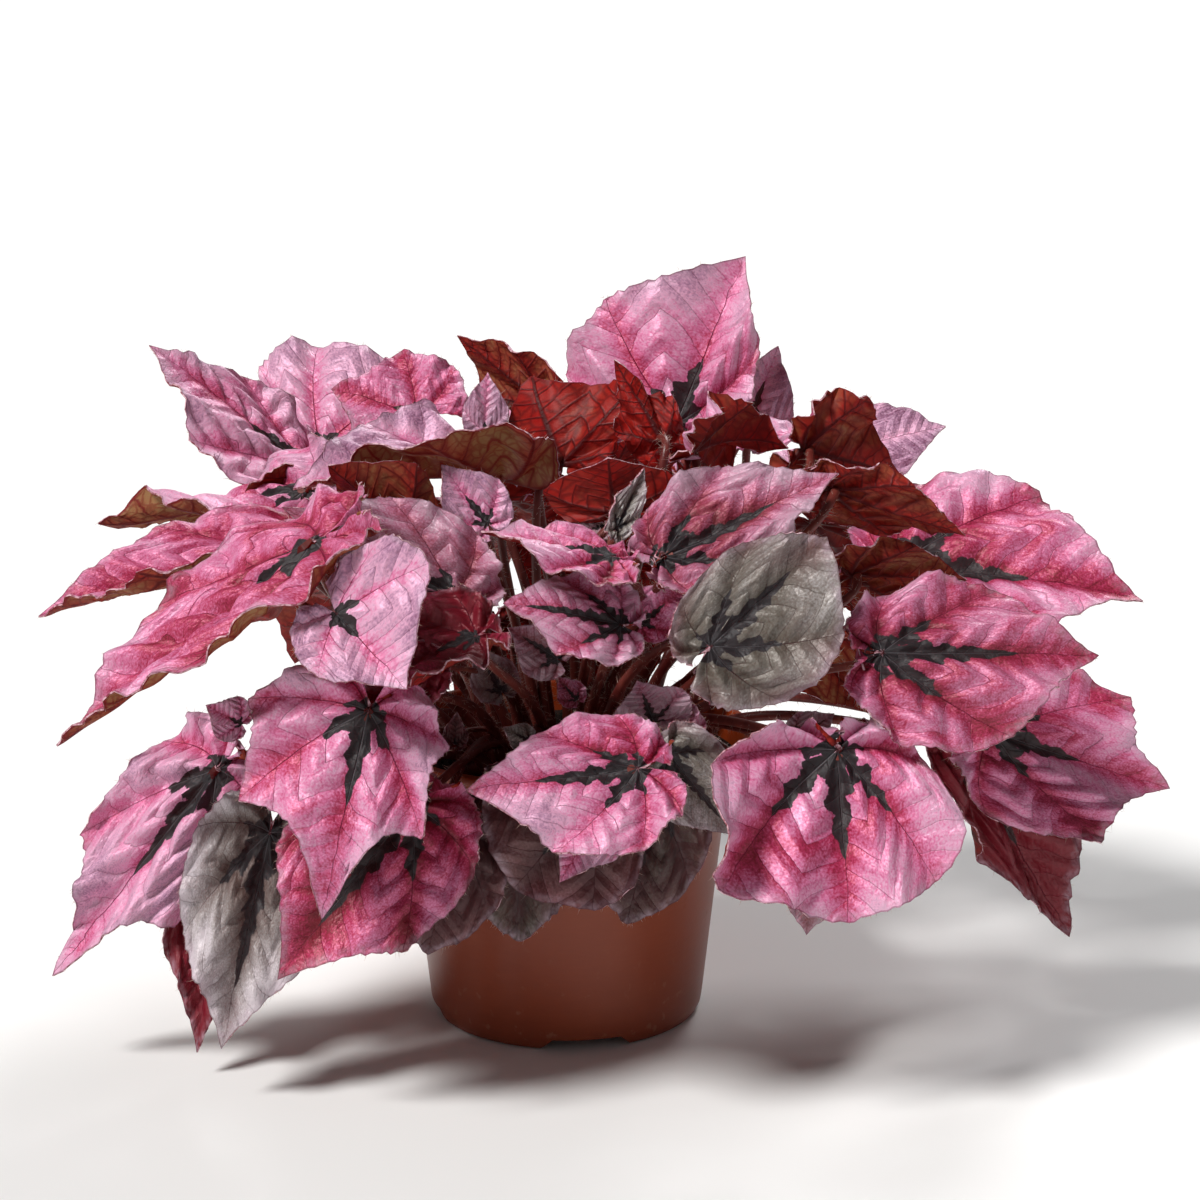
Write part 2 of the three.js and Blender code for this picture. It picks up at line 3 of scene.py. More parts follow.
import bmesh
import bpy
import numpy as np
from mathutils import Matrix, Vector


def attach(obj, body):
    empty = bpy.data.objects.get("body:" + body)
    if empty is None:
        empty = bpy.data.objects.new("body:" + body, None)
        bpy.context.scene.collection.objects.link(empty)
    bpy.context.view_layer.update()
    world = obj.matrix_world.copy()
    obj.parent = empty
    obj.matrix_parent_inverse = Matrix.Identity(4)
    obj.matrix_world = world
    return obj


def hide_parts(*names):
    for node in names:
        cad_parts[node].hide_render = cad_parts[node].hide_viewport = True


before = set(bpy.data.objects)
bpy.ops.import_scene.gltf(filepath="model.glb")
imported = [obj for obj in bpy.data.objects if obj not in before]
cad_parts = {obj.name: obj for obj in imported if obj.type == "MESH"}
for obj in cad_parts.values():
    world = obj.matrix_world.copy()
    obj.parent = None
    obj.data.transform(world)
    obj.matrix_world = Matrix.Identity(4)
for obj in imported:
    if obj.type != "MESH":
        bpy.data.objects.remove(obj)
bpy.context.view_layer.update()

mm = 0.001
scene = bpy.context.scene
shown = {}  # every finished piece by name


# Camera, light and floor

view = dict(place=(0.0116, -0.9, 0.36), down=13.56, lens=82.62)
lights = {
    "keyLight": dict(kind="SUN", place=(-0.9, -0.75, 1.5), aim=(0, 0, 0.1), size=0.25, power=3.5,
        colour=(1, 0.985, 0.96)),
    "backLight": dict(kind="SUN", place=(0.5, 1.2, 1.1), aim=(0, 0, 0.1), size=0.35, power=1.5,
        colour=(1, 1, 1)),
}
room = dict(colour=(1, 1, 1), strength=0.15, floor=(0.86, 0.86, 0.86), floorSize=80)


def addCamera():
    bpy.ops.object.camera_add(location=view["place"], rotation=(math.radians(90 - view["down"]), 0, 0))
    camera = bpy.context.object
    camera.data.lens = view["lens"]
    camera.data.clip_start = 0.01
    scene.camera = camera


def addLights():
    for name, light in lights.items():
        turn = (Vector(light["place"]) - Vector(light["aim"])).to_track_quat("Z", "Y").to_euler()
        bpy.ops.object.light_add(type=light["kind"], location=light["place"], rotation=turn)
        lamp = bpy.context.object
        lamp.name = name
        lamp.data.angle = light["size"]
        lamp.data.energy = light["power"]
        lamp.data.color = light["colour"]
    world = bpy.data.worlds.new("room")
    world.use_nodes = True
    background = world.node_tree.nodes["Background"]
    background.inputs["Color"].default_value = (*room["colour"], 1)
    background.inputs["Strength"].default_value = room["strength"]
    scene.world = world
    scene.view_settings.view_transform = "Standard"


# Shader maths: a Value is a socket, and sums on it add Math nodes

def operator(operation):
    return lambda value, *others: value.maths(operation, *others)


class Value:
    __add__ = __radd__ = operator("ADD")
    __mul__ = __rmul__ = operator("MULTIPLY")
    __sub__ = operator("SUBTRACT")
    __truediv__ = operator("DIVIDE")
    __pow__ = operator("POWER")
    __abs__ = operator("ABSOLUTE")
    least = operator("MINIMUM")
    most = operator("MAXIMUM")

    def __init__(self, tree, socket):
        self.tree = tree
        self.socket = socket

    def maths(self, operation, *others, clamp=False):
        settings = dict(operation=operation, use_clamp=clamp)
        return addNode(self.tree, "ShaderNodeMath", settings, {n: v for n, v in enumerate((self, *others))})

    def __rsub__(self, other):
        return constant(self.tree, other).maths("SUBTRACT", self)

    def within(self):  # kept between 0 and 1
        return self.maths("ADD", 0.0, clamp=True)

    def step(self, low, high):  # 0 below low, 1 above high, smooth between
        settings = dict(interpolation_type="SMOOTHSTEP")
        values = {"Value": self, "From Min": low, "From Max": high}
        return addNode(self.tree, "ShaderNodeMapRange", settings, values)

    def parts(self):  # a vector's three numbers
        return [addNode(self.tree, "ShaderNodeSeparateXYZ", {}, {0: self}, output) for output in range(3)]

    def times(self, factor):  # a vector, scaled axis by axis
        return addNode(self.tree, "ShaderNodeVectorMath", dict(operation="MULTIPLY"), {0: self, 1: factor})


def addNode(tree, kind, settings, values, output=0):
    node = tree.nodes.new(kind)
    for name, setting in settings.items():
        if name == "stops":
            while len(node.color_ramp.elements) < len(setting):
                node.color_ramp.elements.new(1)
            for element, (place, colour) in zip(node.color_ramp.elements, setting):
                element.position = place
                element.color = (*colour, 1)
        else:
            setattr(node, name, setting)
    for name, value in values.items():
        if isinstance(value, Value):
            tree.links.new(value.socket, node.inputs[name])
        elif isinstance(value, tuple) and node.inputs[name].type == "RGBA":
            node.inputs[name].default_value = (*value, 1)
        else:
            node.inputs[name].default_value = value
    return Value(tree, node.outputs[output]) if node.outputs else None


def constant(tree, number):
    node = tree.nodes.new("ShaderNodeValue")
    node.outputs[0].default_value = number
    return Value(tree, node.outputs[0])


def attribute(tree, name):
    return addNode(tree, "ShaderNodeAttribute", dict(attribute_name=name), {}, "Vector")


def objectPlace(tree):
    return addNode(tree, "ShaderNodeTexCoord", {}, {}, "Object")


def noise(tree, place, scale, detail=3):
    return addNode(tree, "ShaderNodeTexNoise", {}, {"Vector": place, "Scale": scale, "Detail": detail})


def blend(tree, factor, first, second):  # colours or numbers, first where factor is 0
    values = {0: factor, 6: first, 7: second}
    return addNode(tree, "ShaderNodeMix", dict(data_type="RGBA"), values, 2)


def vector(tree, x, y, z):
    return addNode(tree, "ShaderNodeCombineXYZ", {}, {0: x, 1: y, 2: z})


def newMaterial(name):
    material = bpy.data.materials.new(name)
    material.use_nodes = True
    material.node_tree.nodes.clear()
    return material, material.node_tree


def finishMaterial(tree, values, height=None, depth=0.001, strength=1.0, glow=None):
    if height is not None:
        bumps = {"Height": height, "Distance": depth, "Strength": strength}
        values["Normal"] = addNode(tree, "ShaderNodeBump", {}, bumps)
    surface = addNode(tree, "ShaderNodeBsdfPrincipled", {}, values)
    if glow:  # light that comes through from behind
        through = addNode(tree, "ShaderNodeBsdfTranslucent", {}, {"Color": glow["colour"]})
        surface = addNode(tree, "ShaderNodeMixShader", {}, {0: glow["share"], 1: surface, 2: through})
    addNode(tree, "ShaderNodeOutputMaterial", {}, {"Surface": surface})


# Meshes

def pick(piece):  # the only one that the next operators change
    bpy.ops.object.select_all(action="DESELECT")
    piece.select_set(True)
    bpy.context.view_layer.objects.active = piece


def show(name, piece):
    piece.name = piece.data.name = name
    shown[name] = piece
    return piece


def addMesh(name, points, edges, faces):
    mesh = bpy.data.meshes.new(name)
    mesh.from_pydata([[number * mm for number in point] for point in points], edges, faces)
    piece = bpy.data.objects.new(name, mesh)
    scene.collection.objects.link(piece)
    return show(name, piece)


def cornersOf(mesh):
    corners = np.empty(len(mesh.vertices) * 3)
    mesh.vertices.foreach_get("co", corners)
    return corners.reshape(-1, 3)


def takeBlank():  # the selected shape's corners and faces, to be copied by their numbers
    blank = bpy.context.object
    corners = np.array([corner.co for corner in blank.data.vertices])
    faces = [tuple(face.vertices) for face in blank.data.polygons]
    bpy.data.objects.remove(blank)
    return corners, faces


def addCopies(name, shapes, faces):  # every shape has the blank's corners, moved to their places
    size = len(shapes[0])
    copied = [tuple(corner + number * size for corner in face)
        for number in range(len(shapes)) for face in faces]
    return addMesh(name, np.concatenate(shapes).tolist(), [], copied)


def hue(code):  # a colour as a painter writes it, made linear
    shares = [int(code[n:n + 2], 16) / 255 for n in (0, 2, 4)]
    return tuple(s / 12.92 if s <= 0.04045 else ((s + 0.055) / 1.055) ** 2.4 for s in shares)


def stopsOf(codes):
    return dict(stops=[(place, hue(code)) for place, code in codes])


# Leaf finishes

vein = dict(main=0.004, side=0.003, sideCount=7.5, slope=0.85, net=300)
blotch = dict(reach=0.6, shorter=0.12, width=0.068, slimmer=0.3, teeth=0.08, ragged=0.11, heart=0.075,
    heartRagged=0.06)
scales = dict(ragged=420, wander=110, jitter=50, cloud=38, underCloud=60, glitter=1500)  # noises to a metre
heatShares = dict(streak=0.3, cloud=0.9, strip=0.7, mainVein=0.22, base=0.02, net=0.06, glitter=0.55,
    ragged=0.16)
underShares = dict(cloud=0.8, glitter=0.25, sideVein=0.5, mainVein=0.35)
upperTints = dict(
    pink=[(0, "7a4a68"), (0.16, "b080a0"), (0.36, "e4acca"), (0.55, "da7aa6"), (0.75, "b6325c"),
        (0.9, "8c1c36"), (1, "741022")],
    silver=[(0, "d6cdd2"), (0.2, "a39d9b"), (0.42, "746e67"), (0.7, "554d44"), (1, "452f30")],
    dark="110f14", darkVein="5c565b", hub="7a3038", edge="4c1420", rim="c8afc0", vein="96224c",
)
underTints = dict(
    cell=[(0, "a07e54"), (0.3, "964e34"), (0.6, "96261c"), (1, "a0160f")],
    vein=[(0, "7a1c18"), (0.6, "3a060a")], edge="7c1c1e",
)
leafGloss = dict(upper=0.47, silk=0.12, under=0.55, upperGlow=0.1, underGlow=0.25)


def leafFields(tree):  # the numbers that every pattern on a blade is drawn with
    x, y, share = attribute(tree, "flat").parts()
    lane, lobeAngle, red = attribute(tree, "lane").parts()
    hot, silver, spread = attribute(tree, "marks").parts()
    shade = attribute(tree, "shade").parts()[0]  # how much darker it is at the stalk than at the edge
    grain = attribute(tree, "grain")
    radius = (x * x + y * y) ** 0.5
    ragged = noise(tree, grain, scales["ragged"], 4)
    wander = noise(tree, grain, scales["wander"], 2)
    lane = lane + 0.1 * (wander - 0.5) * radius
    number = lane.maths("ROUND")
    near = abs(lane - number)
    gap = near * lobeAngle * radius  # to the nearest main vein, in blade lengths
    branch = vein["sideCount"] * radius * (1 - vein["slope"] * near * lobeAngle) + 0.5 * lane.maths("FLOOR")
    jitter = noise(tree, grain, scales["jitter"], 1)
    branch = branch + 1.3 * (jitter - 0.5) + 0.3 * (wander - 0.5) + 0.05 * (ragged - 0.5)
    rib = branch.maths("PINGPONG", 0.5)  # 0 on a side vein, a half between two
    bend = vector(tree, ragged * 0.0016, wander * 0.004, 0.0)
    bent = addNode(tree, "ShaderNodeVectorMath", dict(operation="ADD"), {0: grain, 1: bend})
    cells = {"Vector": bent, "Scale": vein["net"]}
    net = addNode(tree, "ShaderNodeTexVoronoi", dict(feature="DISTANCE_TO_EDGE"), cells)
    mainVein = 1 - gap.step(0.0, vein["main"] * (1.3 - share))
    sideVein = (1 - (rib / vein["sideCount"]).step(0.0, vein["side"])) * (1.1 - 0.6 * share)
    fine = 1 - net.step(0.0, 0.1)
    return dict(share=share, radius=radius, number=number, near=near, gap=gap, branch=branch, rib=rib,
        mainVein=mainVein, sideVein=sideVein, fine=fine, net=net, hot=hot, shade=shade, silver=silver,
        spread=spread, red=red, grain=grain, ragged=ragged)


def streaksOf(tree, f):  # long in the direction of the side veins
    place = vector(tree, f["branch"] * 3.2, f["near"] * 2.6, f["number"] * 3.7 + f["spread"] * 9)
    return noise(tree, place, 1.0, 4)


def leafUpper():
    material, tree = newMaterial("leafUpper")
    f = leafFields(tree)
    tints = upperTints
    ragged = f["ragged"]
    cloud = noise(tree, f["grain"], scales["cloud"], 3)
    glitter = noise(tree, f["grain"], scales["glitter"], 3)
    streak = streaksOf(tree, f)
    reach = ((blotch["reach"] - blotch["shorter"] * abs(f["number"])) * f["spread"]).most(0.03)
    left = 1 - f["share"] / reach  # 1 at the stalk, 0 where a dark arm ends
    tooth = (1 - 2.6 * f["rib"]) * blotch["teeth"] * (1.1 - f["share"])
    slim = 1 - blotch["slimmer"] * abs(f["number"]).least(2)
    torn = tooth + (ragged - 0.5) * blotch["ragged"]
    arm = left.within() ** 0.6 * blotch["width"] * slim + torn * left.within() ** 0.7
    arm = (arm - f["gap"]).least(left * 0.4 + (ragged - 0.5) * 0.12)
    heart = blotch["heart"] * f["spread"] + (ragged - 0.5) * blotch["heartRagged"] - f["radius"]
    dark = arm.most(heart).step(-0.002, 0.003)
    wedge = 0.5 - f["branch"].maths("FRACT")  # each side vein parts a rosier strip from a paler one
    part = heatShares
    heat = f["hot"] + part["streak"] * (streak - 0.5) + part["cloud"] * (cloud - 0.5) + part["base"]
    heat = heat + part["strip"] * wedge * f["near"].step(0.02, 0.16) * (cloud - 0.38).most(0.0)
    # painted shade, partly: shade darkens each blade towards its stalk. On most leaves this is their own
    # darker rose round the blotch; on left_silver it is painted shadow, cast by front_left over its upper
    # half.
    heat = heat + part["mainVein"] * (1 - f["near"].step(0.0, 0.3)) + f["shade"] * (0.5 - f["share"])
    # glitter's share of the colour is partly the fine speckle of the leaf's cells and partly painted glints,
    # their sparkle painted in; its share of the bump below is relief
    heat = heat + part["net"] * f["fine"] + part["glitter"] * (glitter - 0.5)
    heat = heat + part["ragged"] * (ragged - 0.5)
    heat = heat.within()
    pink = addNode(tree, "ShaderNodeValToRGB", stopsOf(tints["pink"]), {0: heat})
    silver = addNode(tree, "ShaderNodeValToRGB", stopsOf(tints["silver"]), {0: heat})
    rosy = f["share"].step(0.5, 1.0) * (0.15 + 1.6 * (cloud - 0.42)).within() * (1.3 - f["silver"])
    colour = blend(tree, (f["silver"] * (1 - rosy)).within(), pink, silver)
    lines = (f["mainVein"] * 0.55 + f["sideVein"] * 0.3 + f["fine"] * 0.04) * (1 - 0.6 * f["silver"])
    colour = blend(tree, lines.within(), colour, hue(tints["vein"]))
    rim = f["share"].step(0.9, 0.985) * (0.15 + 1.4 * (ragged - 0.45))
    colour = blend(tree, rim.within(), colour, hue(tints["rim"]))
    veins = (f["mainVein"] * 0.85 + f["sideVein"] * 0.3 + 0.2 * glitter + 0.3 * (cloud - 0.5)).within()
    darkColour = blend(tree, veins, hue(tints["dark"]), hue(tints["darkVein"]))
    colour = blend(tree, dark, colour, darkColour)
    colour = blend(tree, 0.7 - 0.7 * f["radius"].step(0.002, 0.018), colour, hue(tints["hub"]))
    colour = blend(tree, f["share"].step(0.988, 0.995) * 0.5, colour, hue(tints["edge"]))
    rough = leafGloss["upper"] + 0.14 * (streak - 0.5) + 0.1 * dark + 0.2 * (glitter - 0.5)
    height = 0.5 * streak + 0.45 * ragged + 0.9 * f["rib"] - 0.6 * f["mainVein"] - 0.4 * f["sideVein"]
    height = height + 0.15 * glitter + 0.12 * f["net"].step(0.0, 0.3)
    finishMaterial(tree, {"Base Color": colour, "Roughness": rough, "Metallic": leafGloss["silk"]}, height,
        depth=0.0009, strength=0.9, glow=dict(colour=(0.75, 0.07, 0.13), share=leafGloss["upperGlow"]))
    return material


def leafUnder():
    material, tree = newMaterial("leafUnder")
    f = leafFields(tree)
    tints = underTints
    cloud = noise(tree, f["grain"], scales["underCloud"], 4)
    glitter = noise(tree, f["grain"], scales["glitter"], 2)
    part = underShares
    heat = f["red"] + part["cloud"] * (cloud - 0.5) + part["glitter"] * (glitter - 0.5)
    heat = heat + part["sideVein"] * (0.2 - f["rib"]) + part["mainVein"] * (1 - f["near"].step(0.0, 0.3))
    heat = heat.within()
    colour = addNode(tree, "ShaderNodeValToRGB", stopsOf(tints["cell"]), {0: heat})
    wide = 1 - f["gap"].step(0.006, 0.03 * (1.25 - f["share"]))
    branch = 1 - (f["rib"] / vein["sideCount"]).step(0.002, 0.014)
    web = 1 - f["net"].step(0.0, 0.2)
    lines = wide.most(branch * 0.95).most(web * 0.6)
    veins = addNode(tree, "ShaderNodeValToRGB", stopsOf(tints["vein"]), {0: heat})
    colour = blend(tree, (lines * 0.95).within(), colour, veins)
    colour = blend(tree, f["share"].step(0.975, 0.99), colour, hue(tints["edge"]))
    rough = leafGloss["under"] + 0.2 * (cloud - 0.5)
    height = 0.6 * wide + 0.4 * branch + 0.2 * web + 0.3 * glitter
    finishMaterial(tree, {"Base Color": colour, "Roughness": rough, "Specular IOR Level": 0.28}, height,
        depth=0.0005, strength=0.7, glow=dict(colour=(0.85, 0.05, 0.025), share=leafGloss["underGlow"]))
    return material


def leafEdge():
    material, tree = newMaterial("leafEdge")
    fleck = noise(tree, objectPlace(tree), 700, 2)
    colour = blend(tree, fleck.step(0.35, 0.65), hue("7a2838"), hue("d0a4b0"))
    finishMaterial(tree, {"Base Color": colour, "Roughness": 0.55})
    return material


# Blades: the same form as the solids', with pleats, veins and a finer edge. A leaf's point, width, lobe,
# belly, notch and wave are shares of its length, and its arch, curl (left and right), fold and twist degrees.

blade = dict(thickness=0.5, rib=1.3, sinus=165, spacing=1.0, spokes=(36, 112), ringSpacing=1.5,
    rings=(14, 44), quickSpacing=1.6, around=4.2, countedAt=0.55, hub=0.15, step=0.01, smooth=60)
heartShape = dict(reach=0.84, slope=0.235, pointSpread=0.15, widest=0.52, bellySpread=0.55,
    hindSkew=0.35, lobesEnd=1.65, lobesFade=0.12, lobePower=0.85)
relief = dict(main=0.03, mainWidth=0.04, pleat=0.07, side=0.028, cells=0.003, hub=0.003, hubWidth=0.06,
    ruffle=0.02, bulge=0.02, curve=0.22, ridgeWidth=0.012, teeth=0.042, teethCount=6.5)
usualLeaf = dict(point=0.16, width=0.85, skew=0, lobe=0, belly=0.04, notch=0.012, arch=5, curl=(0, 0), fold=3,
    twist=0, wave=0.025, turns=5, bow=(0, 0, 0), pleat=1, crinkle=1, stalkSize=1, hot=0.5, shade=0.22,
    silver=0, spread=1, red=0.6)
lobeSpread = dict(small=6, large=8, smallLength=36)  # main veins on each blade
phaseStep = 2.4


def outlineOf(leaf, angle):
    turn = np.abs(angle)
    shape = heartShape
    heart = shape["reach"] - shape["slope"] * turn + leaf["point"] * np.exp(-turn / shape["pointSpread"])
    behind = leaf["lobe"] * (1 - np.cos(turn)) / 2
    middle = leaf["belly"] * np.exp(-(((turn - 1) / shape["bellySpread"]) ** 2))
    point = 1 - 2 * np.abs(np.sin(np.pi * turn / leaf["lobeAngle"])) ** shape["lobePower"]
    calm = 1 / (1 + np.exp((turn - shape["lobesEnd"]) / shape["lobesFade"]))
    return (heart + behind + middle) * (1 + leaf["notch"] * (point - 1) * calm)


def teethOf(leaf, angle):
    wave = relief["teethCount"] * angle / leaf["lobeAngle"] + 0.6 * np.sin(3.1 * angle + leaf["phase"])
    slow = 0.5 * np.sin(7 * angle + 2 * leaf["phase"]) * np.sin(3.7 * angle + leaf["phase"])
    point = (np.abs(wave % 1 - 0.4) - 0.35) * (0.7 + 0.3 * np.sin(5 * angle + leaf["phase"]))
    return relief["teeth"] * (point + 0.5 * slow) * (0.7 + 0.3 * leaf["crinkle"])


def bentPoint(leaf, angle, share, reach):
    side = np.where(angle < 0, -1.0, 1.0)
    half = leaf["width"] / 2
    x = reach * np.cos(angle)
    out = np.abs(reach * np.sin(angle)) * (half / heartShape["widest"]) * (1 + leaf["skew"] * side)
    x = np.where(x < 0, x * (1 + heartShape["hindSkew"] * leaf["skew"] * side), x)
    curl = np.radians(np.where(side > 0, leaf["curl"][0], leaf["curl"][1])) + 1e-6
    across = np.sin(curl * out / half) / curl * half
    raised = (1 - np.cos(curl * out / half)) / curl * half
    fold = math.radians(leaf["fold"])
    y = side * (across * math.cos(fold) - raised * math.sin(fold))
    ruffle = np.sin(leaf["turns"] * angle + leaf["phase"]) * share ** 2 * np.minimum(1, np.abs(angle) * 2.5)
    z = across * math.sin(fold) + raised * math.cos(fold) + leaf["wave"] * ruffle
    arch = math.radians(leaf["arch"]) + 1e-6
    along = np.sin(arch * x) / arch + z * np.sin(arch * x)
    up = -(1 - np.cos(arch * x)) / arch + z * np.cos(arch * x)
    twist = math.radians(leaf["twist"]) * x
    turnedY = y * np.cos(twist) - up * np.sin(twist)
    turnedZ = y * np.sin(twist) + up * np.cos(twist)
    return np.stack([along, turnedY, turnedZ], -1)


def unit(vector):
    vector = np.asarray(vector, float)
    return vector / np.linalg.norm(vector)


def bladeAxes(leaf):  # along the blade, to its left and out of its upper face
    along = unit(np.subtract(leaf["tip"], leaf["base"]))
    face = np.array(leaf["face"], float)
    face = unit(face - along * face.dot(along))
    return along, np.cross(face, along), face


def placed(leaf, points):
    tip = bentPoint(leaf, np.zeros(1), np.ones(1), outlineOf(leaf, np.zeros(1)))[0]
    along = unit(tip)
    up = unit(np.array([0, 0, 1.0]) - along * along[2])
    flat = np.stack([along, np.cross(up, along), up])
    size = np.linalg.norm(np.subtract(leaf["tip"], leaf["base"])) / np.linalg.norm(tip)
    return points @ flat.T @ np.stack(bladeAxes(leaf)) * size + np.array(leaf["base"], float)


def reliefOf(leaf, angle, share, radius, lane):  # height over the plain form, and where the ribs are
    near = np.abs(lane - np.round(lane))
    gap = near * leaf["lobeAngle"] * radius
    branch = vein["sideCount"] * radius * (1 - vein["slope"] * near * leaf["lobeAngle"])
    branch = branch + 0.5 * np.floor(lane)
    phase = leaf["phase"]
    side = (0.5 + 0.5 * np.cos(2 * np.pi * branch)) ** 2
    groove = np.exp(-((gap / relief["mainWidth"]) ** 2)) * np.minimum(1, 6 * radius)
    height = -relief["main"] * groove * (1 - 0.4 * share)
    height += relief["pleat"] * leaf["pleat"] * np.cos(2 * np.pi * (lane + 0.5)) * share * 0.5
    away = np.minimum(1, near * 6) * np.minimum(1, radius * 3)
    height -= relief["side"] * side * away * (1.15 - 0.5 * share)
    cells = np.sin(29 * radius + 9 * angle + phase) * np.sin(23 * angle * radius + 2 * phase)
    height += relief["cells"] * cells
    frill = np.sin(13 * angle + 3 * phase + 3 * share) + 0.6 * np.sin(21 * angle + phase)
    height += relief["ruffle"] * leaf["crinkle"] * frill * share ** 4
    x = radius * np.cos(angle)
    y = radius * np.sin(angle)
    height += relief["bulge"] * np.sin(5.3 * x + phase) * np.sin(6.1 * y + 2 * phase)
    height -= relief["hub"] * np.exp(-((radius / relief["hubWidth"]) ** 2))
    ridge = np.exp(-((gap / relief["ridgeWidth"]) ** 2)) * (1 - 0.75 * share)
    return height, ridge


def middleOf(leaf, angle, share):  # the sheet half way through, and the numbers that it is drawn with
    def surface(angle, share):
        edge = outlineOf(leaf, angle) + teethOf(leaf, angle) * share ** 8
        return placed(leaf, bentPoint(leaf, angle, share, edge * share))

    safe = np.maximum(share, blade["hub"])
    step = blade["step"]
    outward = surface(angle, safe + step) - surface(angle, safe - step)
    around = surface(angle + step, safe) - surface(angle - step, safe)
    normal = np.cross(outward, around)
    normal /= np.linalg.norm(normal, axis=1)[:, None]
    hub = share < 1e-5
    if hub.any():
        normal[hub] = unit(normal[hub].mean(0))
    radius = outlineOf(leaf, angle) * share
    lane = angle / (leaf["lobeAngle"] * (1 + relief["curve"] * (1 - share)))
    height, ridge = reliefOf(leaf, angle, share, radius, lane)
    points = surface(angle, share) + normal * (height * leaf["length"])[:, None]
    return points, normal, radius, lane, ridge


blanks = {}


def bladeBlank(spokes, rings):  # one flat sheet for every blade of that size
    if (spokes, rings) not in blanks:
        bpy.ops.mesh.primitive_grid_add(x_subdivisions=spokes, y_subdivisions=rings, size=2)
        blanks[spokes, rings] = bpy.context.object
    return blanks[spokes, rings]


def makeBlade(name, leaf):
    length = leaf["length"]
    coarse = 1
    fewest, most = blade["rings"]
    rings = int(min(most, max(fewest, length / (blade["ringSpacing"] * coarse))))
    fewest, most = blade["spokes"]
    around = blade["around"] * blade["countedAt"] * length
    spokes = 2 * int(min(most, max(fewest, around / (blade["spacing"] * coarse) / 2)))
    piece = bladeBlank(spokes, rings).copy()
    piece.data = piece.data.copy()
    scene.collection.objects.link(piece)
    show(name, piece)
    mesh = piece.data
    grid = cornersOf(mesh)
    count = len(grid)
    angle = -math.radians(blade["sinus"]) * grid[:, 0]
    share = np.round((grid[:, 1] + 1) / 2, 6)
    points, normal, radius, lane, ridge = middleOf(leaf, angle, share)
    points += normal * blade["thickness"] / 2
    mesh.vertices.foreach_set("co", (points * mm).ravel())
    flat = np.stack([radius * np.cos(angle), radius * np.sin(angle), share], -1)
    shift = np.array([leaf["phase"] * 0.37 % 1, leaf["phase"] * 0.73 % 1, leaf["phase"] * 0.11 % 1])
    grain = flat * [length * mm, length * mm, 0] + shift
    setVectors(mesh, "flat", flat)
    setVectors(mesh, "grain", grain)
    setVectors(mesh, "lane", np.stack([lane, lane * 0 + leaf["lobeAngle"], lane * 0 + leaf["red"]], -1))
    setVectors(mesh, "marks", np.tile([leaf["hot"], leaf["silver"], leaf["spread"]], (count, 1)))
    setVectors(mesh, "shade", np.tile([leaf["shade"], 0, 0], (count, 1)))
    ribs = piece.vertex_groups.new(name="ribs")
    thin = blade["thickness"] / blade["rib"]
    for level in range(11):
        chosen = np.nonzero(np.round(ridge * 10) == level)[0]
        ribs.add(chosen.tolist(), thin + (1 - thin) * level / 10, "REPLACE")
    for finish in (leafUpperFinish, leafUnderFinish, leafEdgeFinish):
        mesh.materials.append(finish)
    shell = bmesh.new()
    shell.from_mesh(mesh)
    bmesh.ops.remove_doubles(shell, verts=shell.verts, dist=1e-6)
    shell.to_mesh(mesh)
    shell.free()
    pick(piece)
    bpy.ops.object.modifier_add(type="SOLIDIFY")
    solid = piece.modifiers[0]
    solid.thickness = blade["rib"] * mm
    solid.offset = -1
    solid.vertex_group = "ribs"
    solid.material_offset = 1
    solid.material_offset_rim = 2
    bpy.ops.object.modifier_apply(modifier=solid.name)
    bpy.ops.object.shade_smooth_by_angle(angle=math.radians(blade["smooth"]))
    return piece


def setVectors(mesh, name, values):
    layer = mesh.attributes.new(name, "FLOAT_VECTOR", "POINT")
    layer.data.foreach_set("vector", np.asarray(values, np.float32).ravel())


# Rhizome and stalks

rhizome = dict(headings=(25, 85, 140, 188, 214, 238, 262, 286, 312, 342), length=44, radius=5.5, tip=3.5,
    height=86, rise=4, first=0.25, span=0.72)
stalk = dict(radius=1.9, tip=1.25, inset=1.8, rise=0.4, arrival=0.35, lean=0.2, slant=0.4, gap=0.3,
    cadBlade=0.8, cadTip=1.35, footFlare=0.9, footFade=14, tipFlare=0.25, tipFade=22, steps=14,
    armSteps=6, bevel=3)


def armPoint(arm, share):
    heading = math.radians(rhizome["headings"][arm])
    reach = rhizome["length"] * share
    return np.array([math.cos(heading) * reach, math.sin(heading) * reach,
        rhizome["height"] + rhizome["rise"] * share])


def nearestArm(leaf):
    heading = math.atan2(leaf["base"][1], leaf["base"][0])
    return max(range(len(rhizome["headings"])),
        key=lambda arm: round(math.cos(math.radians(rhizome["headings"][arm]) - heading), 9))


def placeOnArms(leaves):  # the leaves that stand furthest out grow from the tips of the rhizome's arms
    for arm in range(len(rhizome["headings"])):
        carried = [leaf for leaf in leaves if nearestArm(leaf) == arm]
        carried.sort(key=lambda leaf: math.hypot(leaf["base"][0], leaf["base"][1]))
        for rank, leaf in enumerate(carried):
            share = rhizome["first"] + rhizome["span"] * (rank + 0.5) / len(carried)
            leaf["start"] = armPoint(arm, share)


def stalkPoints(leaf):  # the four control points of its curve
    along, _, face = bladeAxes(leaf)
    arrival = unit(along * stalk["lean"] + face)
    under = stalk["cadBlade"] / 2 + stalk["gap"] + stalk["cadTip"] * stalk["slant"]
    end = np.array(leaf["base"]) + along * stalk["inset"] - face * under
    reach = np.linalg.norm(end - leaf["start"])
    bow = np.array(leaf["bow"], float)
    first = leaf["start"] + [0, 0, reach * stalk["rise"]] + bow
    return leaf["start"], first, end - arrival * reach * stalk["arrival"] + bow, end


